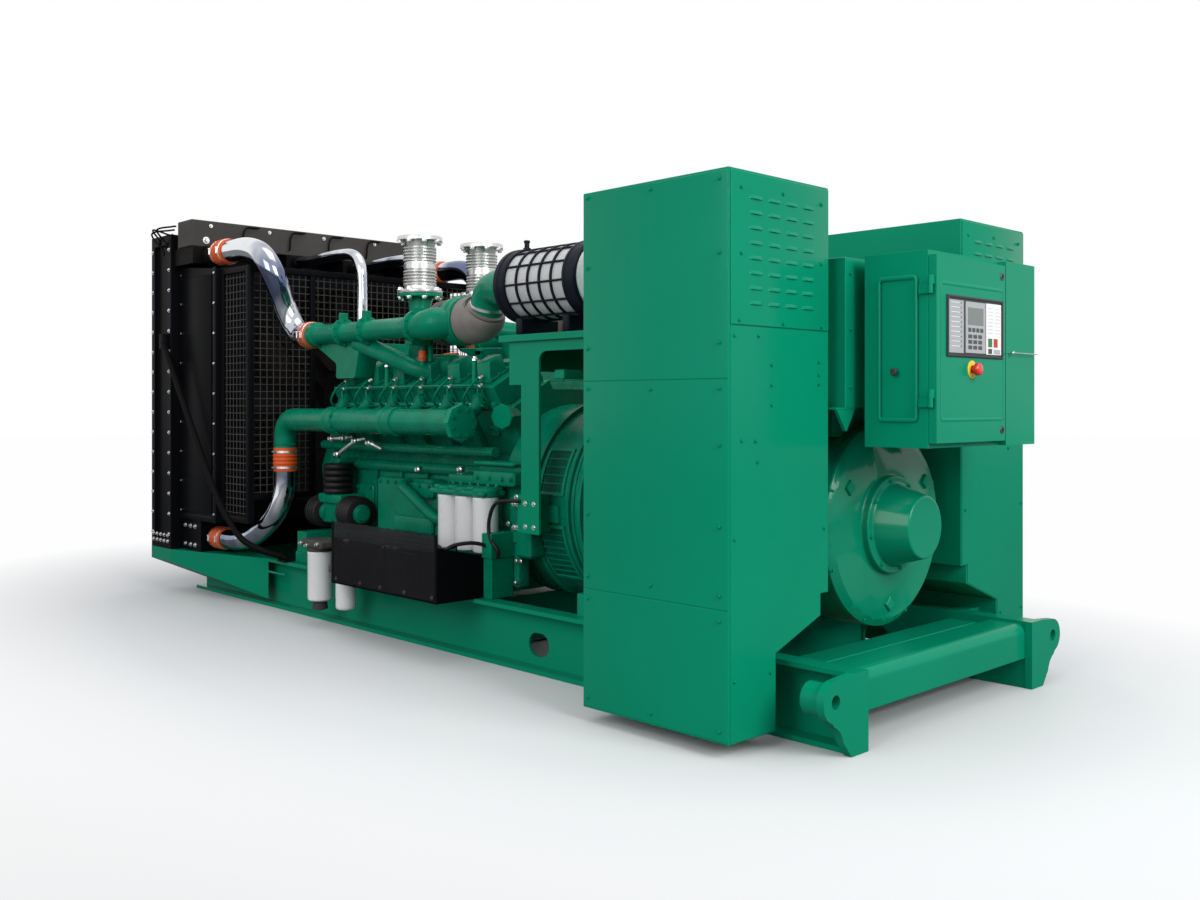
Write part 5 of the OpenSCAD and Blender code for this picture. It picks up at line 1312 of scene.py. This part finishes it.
# The tray: folded sheet with end plates that fall towards the engine, angle posts
# and a smoked clear sheet in front of the batteries.
tray_low, tray_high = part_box("battery_tray")
tray = Piece("battery_tray_bars")
sheet, fold = 0.004, 0.0015
rear_top = 0.437
tray.grid(bar((tray_low.x, tray_low.y, tray_low.z), (tray_high.x, tray_high.y, tray_low.z + 0.007), 0, fold))
tray.grid(bar((tray_low.x, tray_low.y, tray_low.z),
              (tray_high.x, tray_low.y + sheet, tray_low.z + 0.012), 0, fold))
tray.grid(bar((tray_low.x, tray_high.y - sheet, tray_low.z), (tray_high.x, tray_high.y, rear_top), 0, fold))
end_line = rounded([(tray_low.y + 0.006, tray_low.z + 0.006), (tray_high.y, tray_low.z + 0.006),
                    (tray_high.y, rear_top), (tray_low.y + 0.006, 0.507)], 0.006, 2)
for x in (tray_low.x + 0.0005, tray_high.x - 0.0045):
    ring = np.insert(end_line, 0, x, axis=1)
    tray.grid(np.stack([ring, ring + (sheet, 0, 0)]))
for x in (tray_low.x, tray_high.x - 0.02):
    tray.grid(bar((x, tray_low.y + 0.0005, tray_low.z),
                  (x + 0.02, tray_low.y + sheet, tray_high.z), 2, 0.0012))
for x in (tray_low.x + 0.14, tray_low.x + 0.43, tray_low.x + 0.70):
    tray.grid(bar((x, tray_low.y + 0.03, 0.4805), (x + 0.03, -0.66, 0.4845), 1, fold))
    for y in (tray_low.y + 0.012, -0.655):
        tray.grid(turned([(0, 0.004), (0.225, 0.004)], (x + 0.015, y, 0.27), (0, 0, 1), 8))
tray.make(sheet_black, "black_paint", replaces=("battery_tray",))
plastic = Finish("smoked_shield", Roughness=0.1, IOR=1.45, Specular_IOR_Level=0.06)
plastic.feed(Base_Color=plastic.blend(plastic.noise(4.0), (0.010, 0.010, 0.011), (0.018, 0.018, 0.020)),
             Alpha=plastic.noise(6.0) * 0.08 + 0.60)
shield = Piece("battery_shield")
shield.grid(bar((tray_low.x + 0.001, tray_low.y + 0.0012, tray_low.z + 0.008),
                (tray_high.x - 0.001, tray_low.y + 0.0042, tray_high.z - 0.001), 0, 0.001))
shield.make(plastic.material, "battery_case")
tray_bolts = Piece("tray_bolts")
bolts(tray_bolts, rows((-0.41, -0.20, -0.03, 0.16, 0.37), tray_low.y + 0.0008, (0.29,)), (0, -1, 0), 0.011)
tray_bolts.make(dusty_black, "black_paint")

# Battery cables run in black sheath from the tray up to the starter and away.
cables = Piece("battery_cables")
starter_lead = [(0.640, -0.56, 0.704), (0.60, -0.60, 0.708), (0.52, -0.62, 0.700), (0.475, -0.622, 0.665),
                (0.452, -0.622, 0.595), (0.465, -0.622, 0.53), (0.50, -0.61, 0.485), (0.49, -0.60, 0.45)]
long_lead = [(-0.42, -0.815, 0.462), (-0.425, -0.80, 0.50), (-0.30, -0.77, 0.505), (-0.05, -0.765, 0.498),
             (0.18, -0.77, 0.50), (0.33, -0.80, 0.50), (0.345, -0.815, 0.462)]
short_lead = [(0.345, -0.815, 0.462), (0.37, -0.76, 0.505), (0.405, -0.68, 0.515), (0.43, -0.62, 0.50),
              (0.45, -0.57, 0.47)]
for run, thick in ((starter_lead, 0.0085), (long_lead, 0.009), (short_lead, 0.009)):
    cables.grid(tube(curved(run, 6), thick, 12, (0.3, 0.2, 1)))
cables.make(rubber, "battery_case")


# ------------------------------------------------------------------ alternator
# A fabricated steel barrel bolted to the flywheel housing: a ringed adaptor with
# guarded air windows, a welded frame with feet and a cast end bracket.

adaptor_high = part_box("alternator_adaptor")[1]
softened("alternator_body", sheet_green, 0.006, 3)
softened("alternator_adaptor", cast_green, 0.004)
rim_r = adaptor_high.y
barrel_r = rim_r - 0.020


def arc(profile, low, high, steps=24):
    """A profile of (x, radius) points carried about the crankshaft's line from one
    angle above the level of the shaft to another, on the near side."""
    profile = np.asarray(profile, float)
    turn = np.radians(np.linspace(low, high, steps))[:, None]
    x, r = profile[:, 0] + 0 * turn, profile[:, 1] + 0 * turn
    return np.stack([x, -r * np.cos(turn), crank_z + r * np.sin(turn)], -1)


def oblong(x0, x1, r0, r1, edge=0.003):
    """A rounded oblong of (x, radius) points."""
    return rounded([(x0, r0), (x1, r0), (x1, r1), (x0, r1)], edge, 2)


hoops = Piece("adaptor_hoops")
guards = Piece("adaptor_guards")
recess = Piece("adaptor_recess")
slat_bolts = Piece("adaptor_bolts")
for x0, x1, drop in ((0.790, 0.812, 0.004), (0.828, 0.842, 0.008), (0.852, 0.866, 0.004)):
    hoops.grid(arc(oblong(x0, x1, barrel_r - 0.004, rim_r - drop), -55, 235, 96))
for x0, x1, low, high, fins in ((0.618, 0.752, 8.6, 32.0, 5), (0.600, 0.752, -11.0, -42.0, 8)):
    low, high = min(low, high), max(low, high)
    recess.pair(arc(oblong(x0, x1, barrel_r - 0.002, barrel_r + 0.0012, 0.001), low, high))
    edge_r = (barrel_r - 0.002, barrel_r + 0.008)
    guards.pair(arc(oblong(x0 - 0.016, x0, *edge_r), low - 1.6, high + 1.6),
                arc(oblong(x1, x1 + 0.016, *edge_r), low - 1.6, high + 1.6),
                arc(oblong(x0 - 0.016, x1 + 0.016, *edge_r), low - 1.8, low, 4),
                arc(oblong(x0 - 0.016, x1 + 0.016, *edge_r), high, high + 1.8, 4))
    for place in np.linspace(low, high, fins + 1)[1:-1]:
        bar_part = arc(oblong(x0, x1, barrel_r, barrel_r + 0.005, 0.001), place - 0.28, place + 0.28, 3)
        guards.pair(bar_part)
    for x in np.linspace(x0, x1, 14)[1:-1]:
        fin = arc(oblong(x - 0.0014, x + 0.0014, barrel_r, barrel_r + 0.0035, 0.0006), low, high, 12)
        guards.pair(fin)
boss = arc(oblong(0.640, 0.745, barrel_r - 0.002, barrel_r + 0.018, 0.006), -7.5, 1.5, 8)
guards.pair(boss)
hoops.make(cast_green, "green_paint")
guards.make(sheet_green, "green_paint")
shadow = mottled("window_shadow", 20.0, (0.0, 0.022, 0.020), (0.002, 0.050, 0.044), 30.0, 0.2, 0.5,
                 Specular_IOR_Level=0.15)
recess.make(shadow, "green_paint")
flange_r = 0.452
ring = circle((adaptor_high.x + 0.0005, 0, crank_z), flange_r, 24, 0.5)
ring = ring[ring[:, 2] > crank_z - 0.65 * flange_r]
bolts(slat_bolts, ring, (1, 0, 0), 0.019)
slat_bolts.make(cast_green, "green_paint")

# The starter's cover and a bolted pump bracket stand on the flywheel housing.
starter = Piece("starter_cover")
starter_bolts = Piece("starter_bolts")
for low, high in (((0.495, -0.505, 0.445), (0.600, -0.40, 0.690)),
                  ((0.435, -0.49, 0.30), (0.500, -0.42, 0.715)),
                  ((0.44, -0.50, 0.50), (0.50, -0.44, 0.56))):
    starter.pair(bar(low, high, 2, 0.012, 3))
starter.make(cast_green, "green_paint")
spots = np.array([(0.553, 0.715), (0.525, 0.715), (0.530, 0.684), (0.508, 0.684), (0.468, 0.592),
                  (0.530, 0.578), (0.508, 0.578), (0.553, 0.430), (0.520, 0.428), (0.514, 0.330)])
for side in (-1, 1):
    face = np.stack([spots[:, 0] - 0.02, 0 * spots[:, 0] + side * 0.507, spots[:, 1]], -1)
    bolts(starter_bolts, face[:8], (0, side, 0), 0.014)
    for spot in face[8:]:
        starter_bolts.grid(turned([(-0.03, 0.010), (0.0, 0.010), (0.004, 0.007)], spot, (0, side, 0), 10))
starter_bolts.make(zinc, "bellows_steel")

wet_green = sheet_paint("wet_green", green, 0.06, 0.22)
softened("alternator_end_cover", wet_green, 0.007, 3)
face_x = 2.025
lugs = Piece("end_cover_lugs")
rim = turned([(0.0385, 0.350), (0.040, 0.3545), (0.046, 0.3565), (0.052, 0.3545), (0.054, 0.350)],
             (face_x, 0, crank_z), (1, 0, 0), 96)
outer = turned([(0.030, 0.3785), (0.036, 0.3835), (0.041, 0.3835), (0.044, 0.379), (0.0445, 0.372)],
               (face_x, 0, crank_z), (1, 0, 0), 96)
lugs.grid(rim, caps=False).grid(outer, caps=False)
lug_r, pad_r = 0.371, 0.300
for turn_at in np.radians(np.arange(8) * 45 + 22.5):
    spot = np.array([face_x + 0.032, lug_r * math.cos(turn_at), crank_z + lug_r * math.sin(turn_at)])
    lugs.grid(turned([(0, 0.0125), (0.012, 0.0120), (0.014, 0.010)], spot, (1, 0, 0), 16))
    bolts(lugs, spot + (0.012, 0, 0), (1, 0, 0), 0.012, False)
for turn_at in np.radians((30, 150, 270)):
    spot = (face_x + 0.060, pad_r * math.cos(turn_at), crank_z + pad_r * math.sin(turn_at))
    lugs.grid(turned([(0, 0.030), (0.010, 0.029), (0.013, 0.024)], spot, (1, 0, 0), 4))
lugs.make(sheet_green, "green_paint")
fasteners = Piece("hub_bolts")
bolts(fasteners, circle((2.1175, 0, crank_z), 0.168, 8, 0.25), (1, 0, 0), 0.012)
fasteners.make(sheet_green, "green_paint")


# ------------------------------------------------------------------ cabinets
# Folded sheet-steel cabinets stand each side of a steel terminal box; panels overlap
# at seams, held by plated screws, with pressed louvres in the end panels.

for cabinet in ("power_cabinet_left", "power_cabinet_right", "terminal_box"):
    softened(cabinet, sheet_green, 0.0035)
cabinet_low, cabinet_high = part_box("power_cabinet_left")
screw_heads = Piece("cabinet_screws")
louvres = Piece("cabinet_louvres")
panels = Piece("cabinet_panels")
end_x = cabinet_high.x
panel_t = 0.005


def louvre(y_middle, z_middle, width=0.066, height=0.012, rise=0.0052):
    """A pressed slot hood: a quarter-wave rise from the sheet to its open lower lip,
    falling to nothing at both ends as the square root of one less the square."""
    s = np.linspace(-1, 1, 13)
    t = np.linspace(0, 1, 6)
    lift = rise * np.sqrt(np.clip(1 - s ** 2, 0, 1))[:, None] * np.sin(0.5 * np.pi * t)[None]
    y = np.broadcast_to((y_middle + 0.5 * width * s)[:, None], lift.shape)
    z = z_middle + 0.5 * height - height * t[None] * np.ones_like(y)
    outer = np.stack([end_x + panel_t + 0.0003 + lift, y, z], -1)
    inner = np.stack([0 * y[:, ::-1] + end_x + panel_t - 0.001, y[:, ::-1], z[:, ::-1]], -1)
    return np.concatenate([outer, inner], 1)


cut = rounded([(0.994, 0.056), (0.994, 1.377), (0.466, 1.377), (0.466, 0.481), (0.511, 0.481),
               (0.511, 0.404), (0.763, 0.310), (0.763, 0.056)], 0.004, 2)
for side in (-1, 1):
    panels.grid(bar((end_x, side * 0.466, 1.381), (end_x + panel_t, side * 0.994, 1.871), 2, 0.0018))
    ring = np.insert(cut * (side, 1), 0, end_x, axis=1)[::side]
    panels.grid(np.stack([ring - (0.001, 0, 0), ring + (0.0022, 0, 0)]))
    for column in (0.870, 0.773, 0.680, 0.5875):
        for row in np.linspace(1.795, 1.455, 8):
            louvres.grid(louvre(side * column, row))
    for y, z in ((-0.944, 1.820), (-0.725, 1.825), (-0.510, 1.815), (-0.944, 1.61), (-0.954, 1.396),
                 (-0.725, 1.394), (-0.510, 1.394), (-0.510, 1.61)):
        bolts(screw_heads, np.array([[end_x + panel_t, -side * y, z]]), (1, 0, 0), 0.0095)
    for y, z in ((-0.852, 1.349), (-0.784, 1.257), (-0.521, 1.273), (-0.784, 1.191), (-0.784, 1.126),
                 (-0.521, 1.229), (-0.521, 1.198), (-0.868, 1.009), (-0.939, 1.011), (-0.858, 0.941),
                 (-0.975, 1.346), (-0.975, 0.70), (-0.975, 0.25), (-0.49, 0.70), (-0.79, 0.25)):
        bolts(screw_heads, np.array([[end_x + 0.0022, -side * y, z]]), (1, 0, 0), 0.009)
    seams = (0.056, 0.4735, 1.2085, 1.873)
    for z0, z1 in zip(seams[:-1], seams[1:]):
        panels.grid(bar((cabinet_low.x + 0.004, side * 0.9985, z0 + 0.0015),
                        (cabinet_high.x - 0.004, side * 1.0022, z1 - 0.0015), 2, 0.0014))
    for x, z in ((1.490, 1.860), (1.798, 1.851), (2.099, 1.846), (2.099, 1.611), (1.490, 1.611),
                 (1.490, 1.325), (2.099, 1.325), (1.490, 1.183), (1.798, 1.179), (2.099, 1.180),
                 (1.490, 1.001), (2.099, 0.999), (1.490, 0.74), (2.099, 0.74), (1.490, 0.52), (1.798, 0.52),
                 (2.099, 0.52), (1.490, 0.44), (2.099, 0.44), (1.490, 0.09), (1.798, 0.09), (2.099, 0.09)):
        bolts(screw_heads, np.array([[x, side * 1.0022, z]]), (0, side, 0), 0.0105)
term_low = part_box("terminal_box")[0]
term_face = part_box("control_box")[0].x - 0.050
for side in (-1, 1):
    bolts(screw_heads, rows(term_face, side * 0.372, (1.189, 1.392, 1.588)), (1, 0, 0), 0.010)
    panels.grid(bar((term_face - 0.065, side * 0.325, term_low.z - 0.006),
                    (term_face - 0.002, side * 0.455, term_low.z + 0.002), 1, 0.001))
    gusset_top, gusset_foot = term_low.z - 0.004, 1.034
    gusset = np.array([(-0.450, gusset_top), (-0.335, gusset_top), (-0.388, gusset_foot),
                       (-0.394, gusset_foot)])
    wedge = np.stack([np.insert(gusset, 0, x, axis=1) for x in (term_face - 0.016, term_face - 0.003)])
    panels.grid(wedge if side < 0 else both(wedge))
panels.make(sheet_green, "green_paint")
louvres.make(sheet_green, "green_paint", replaces=("cabinet_louvre_panels",))
screw_heads.make(sheet_green, "green_paint")


# ------------------------------------------------------------------ control box
# A hinged enclosure of folded sheet: the door carries a moulded operator panel and a
# red mushroom button, and swings on two pinned hinges.

softened("control_box", sheet_green, 0.0025)
softened("control_door", sheet_green, 0.0025)
box_low, box_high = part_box("control_box")
door_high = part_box("control_door")[1]
panel_low, panel_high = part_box("control_panel")


def beading(low_u, high_u, low_v, high_v, place, axis, height=0.0022, width=0.007, corner=0.012):
    """A raised bead pressed in sheet: a low half-round run round a rounded oblong."""
    line = rounded([(low_u, low_v), (high_u, low_v), (high_u, high_v), (low_u, high_v)], corner, 5)
    flat = np.insert(line, axis, place, axis=1)
    nearby = np.roll(flat, -1, 0) - np.roll(flat, 1, 0)
    along = unit(nearby)
    out = np.zeros(3)
    out[axis] = 1.0 if axis == 0 else -1.0
    side = unit(np.cross(along, out))
    angle = np.radians(np.linspace(0, 360, 9)[:-1])
    sideways = width * np.cos(angle)[None, :, None] * side[:, None]
    upwards = height * np.sin(angle)[None, :, None] * out
    return flat[:, None] + sideways + upwards


trim = Piece("box_beads")
trim.grid(beading(2.277, 2.419, 1.075, 1.557, box_low.y + 0.0085, 1)[:, ::-1], loop=True)
trim.make(sheet_green, "green_paint")
door_trim = Piece("door_beads")
door_trim.grid(beading(-0.325, 0.112, 1.075, 1.535, door_high.x - 0.0004, 0)[:, ::-1], loop=True)
door_trim.make(sheet_green, "green_paint", body="control_door")

plated = mottled("bright_plate", 50.0, (0.60, 0.60, 0.60), (0.85, 0.85, 0.85), 70.0, 0.2, 0.15, Metallic=1.0)
locks = Piece("door_locks")
for y, z in ((0.102, 1.586), (0.102, 1.036)):
    locks.grid(turned([(0, 0.0135), (0.002, 0.0135), (0.0035, 0.012), (0.0036, 0.0075), (0.001, 0.007)],
                      (door_high.x - 0.0008, y, z), (1, 0, 0), 28))
    locks.grid(bar((door_high.x + 0.0005, y - 0.0012, z - 0.006),
                   (door_high.x + 0.0022, y + 0.0012, z + 0.006), 2, 0.0005))
lock_metal = mottled("lock_metal", 50.0, (0.045, 0.045, 0.047), (0.10, 0.10, 0.10), 70.0, 0.2, 0.25,
                     Metallic=0.8)
locks.make(lock_metal, "bright_pipe", body="control_door")
side_lock = Piece("side_lock")
side_lock.grid(turned([(-0.002, 0.014), (0.002, 0.0135), (0.0035, 0.012), (0.0036, 0.0075), (0.001, 0.007)],
                      (2.339, box_low.y, 1.238), (0, -1, 0), 28))
side_lock.make(lock_metal, "bright_pipe")

bezel = mottled("bezel_black", 6.0, (0.012, 0.012, 0.014), (0.022, 0.022, 0.025), 60.0, 0.2, 0.32,
                (500.0, 0.12, 0.0003), Specular_IOR_Level=0.4)
panel_frame = Piece("panel_bezel")
front_x = panel_high.x
panel_frame.grid(bar((front_x - 0.006, panel_low.y + 0.0005, 1.289),
                     (front_x - 0.0008, panel_high.y - 0.0005, 1.498), 0, 0.002, 3))
for y0, y1, z0, z1 in ((-0.2905, -0.2805, 1.2895, 1.4975), (0.0935, 0.1035, 1.2895, 1.4975),
                       (-0.2815, 0.0945, 1.2895, 1.2975), (-0.2815, 0.0945, 1.4895, 1.4975)):
    long_axis = 2 if z1 - z0 > 0.1 else 1
    panel_frame.grid(bar((front_x - 0.006, y0, z0), (front_x + 0.003, y1, z1), long_axis, 0.0015))
panel_frame.make(bezel, "panel_black", body="control_door", replaces=("control_panel",))

# A printed foil of plain blocks, a small display and domed keys; no lettering.


def flat_colour(name, colour, rough=0.4, **more):
    """A plain moulded plastic with a slight unevenness."""
    deep = tuple(0.9 * c for c in colour)
    return mottled(name, 30.0, deep, colour, 90.0, 0.12, rough, **more)


foil_colours = {"foil_grey": (0.36, 0.37, 0.38), "foil_white": (0.78, 0.78, 0.77),
                "foil_dark": (0.05, 0.052, 0.056), "foil_green": (0.02, 0.16, 0.06),
                "foil_red": (0.45, 0.02, 0.015), "foil_glass": (0.10, 0.13, 0.12)}
foil = {name: Piece(name) for name in foil_colours}


def tile(kind, y0, y1, z0, z1, lift=0.0006):
    """A thin block of one colour that stands a little out of the panel's face."""
    foil[kind].grid(bar((front_x - 0.0012, y0, z0), (front_x - 0.0008 + lift, y1, z1), 0, 0.0004, 1))


tile("foil_grey", -0.276, -0.178, 1.303, 1.483)
for z in np.arange(1.325, 1.475, 0.0165):
    tile("foil_white", -0.262, -0.205, z, z + 0.0022, 0.0009)
    tile("foil_dark", -0.198, -0.192, z - 0.002, z + 0.004, 0.0009)
tile("foil_grey", -0.165, -0.026, 1.305, 1.482, 0.0012)
tile("foil_glass", -0.150, -0.042, 1.402, 1.462, 0.0020)
for y in (-0.148, -0.120, -0.092, -0.064):
    tile("foil_dark", y, y + 0.020, 1.378, 1.392, 0.0024)
for row in range(3):
    for y in (-0.148, -0.113, -0.078):
        tile("foil_dark", y, y + 0.026, 1.318 + 0.019 * row, 1.331 + 0.019 * row, 0.0022)
tile("foil_white", -0.020, 0.090, 1.303, 1.483)
for z in np.arange(1.378, 1.474, 0.0125):
    tile("foil_grey", -0.008, 0.030, z, z + 0.0018, 0.0009)
    tile("foil_grey", 0.044, 0.078, z, z + 0.0018, 0.0009)
tile("foil_green", -0.006, 0.022, 1.330, 1.360, 0.0018)
tile("foil_red", 0.034, 0.062, 1.330, 1.360, 0.0018)
tile("foil_dark", -0.006, 0.022, 1.306, 1.324, 0.0014)
tile("foil_grey", 0.034, 0.080, 1.306, 1.322, 0.0014)
for name, colour in foil_colours.items():
    glass = {"Coat_Weight": 1.0, "Coat_Roughness": 0.03} if name == "foil_glass" else {}
    foil[name].make(flat_colour(name, colour, **glass), "panel_black", body="control_door")

# The stop button: a lathe-turned red cap on a yellow ring plate.
stop_low, stop_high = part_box("stop_button")
stop_y, stop_z = (stop_low.y + stop_high.y) / 2, (stop_low.z + stop_high.z) / 2
red = flat_colour("stop_red", (0.62, 0.022, 0.012), 0.24, Coat_Weight=0.4)
yellow = flat_colour("stop_yellow", (0.78, 0.50, 0.02), 0.3)
stop_face = (stop_high.x, stop_y, stop_z)
cap = Piece("stop_cap")
cap.grid(turned([(-0.021, 0.014), (-0.0205, 0.0195), (-0.018, 0.0215), (-0.012, 0.022), (-0.006, 0.0215),
                 (-0.003, 0.0195), (-0.001, 0.016), (0.0, 0.010), (0.0, 0.004)], stop_face, (1, 0, 0), 48))
cap.grid(turned([(-0.050, 0.0095), (-0.020, 0.0095)], stop_face, (1, 0, 0), 24))
cap.make(red, "stop_red", body="stop_button", replaces=("stop_button",))
collar = Piece("stop_collar")
collar.grid(turned([(0, 0.031), (0.002, 0.031), (0.003, 0.029), (0.003, 0.0125), (0, 0.0125)],
                   (door_high.x, stop_y, stop_z), (1, 0, 0), 40), caps=False)
collar.make(yellow, "stop_red", body="control_door")
hinge_pins = Piece("hinge_pins")
hinge_x, hinge_y = 2.475, -0.3665
for knuckle_top in (1.1475, 1.5275):
    hinge_pins.grid(turned([(0, 0.005), (0.002, 0.0068), (0.005, 0.0068), (0.006, 0.004)],
                           (hinge_x, hinge_y, knuckle_top), (0, 0, 1), 16))
hinge_pins.make(plated, "bright_pipe", body="control_door")
stay = Piece("door_stay_pin")
stay.grid(turned([(-0.001, 0.004), (0.008, 0.004), (0.010, 0.0065), (0.015, 0.0075), (0.020, 0.006),
                  (0.022, 0.002)], (box_high.x, 0.154, 1.314), (1, 0, 0), 14))
stay.grid(turned([(0.0, 0.0020), (0.192, 0.0020)], (box_high.x + 0.0145, 0.157, 1.314), (0, 1, 0), 8))
stay.make(plated, "bright_pipe")
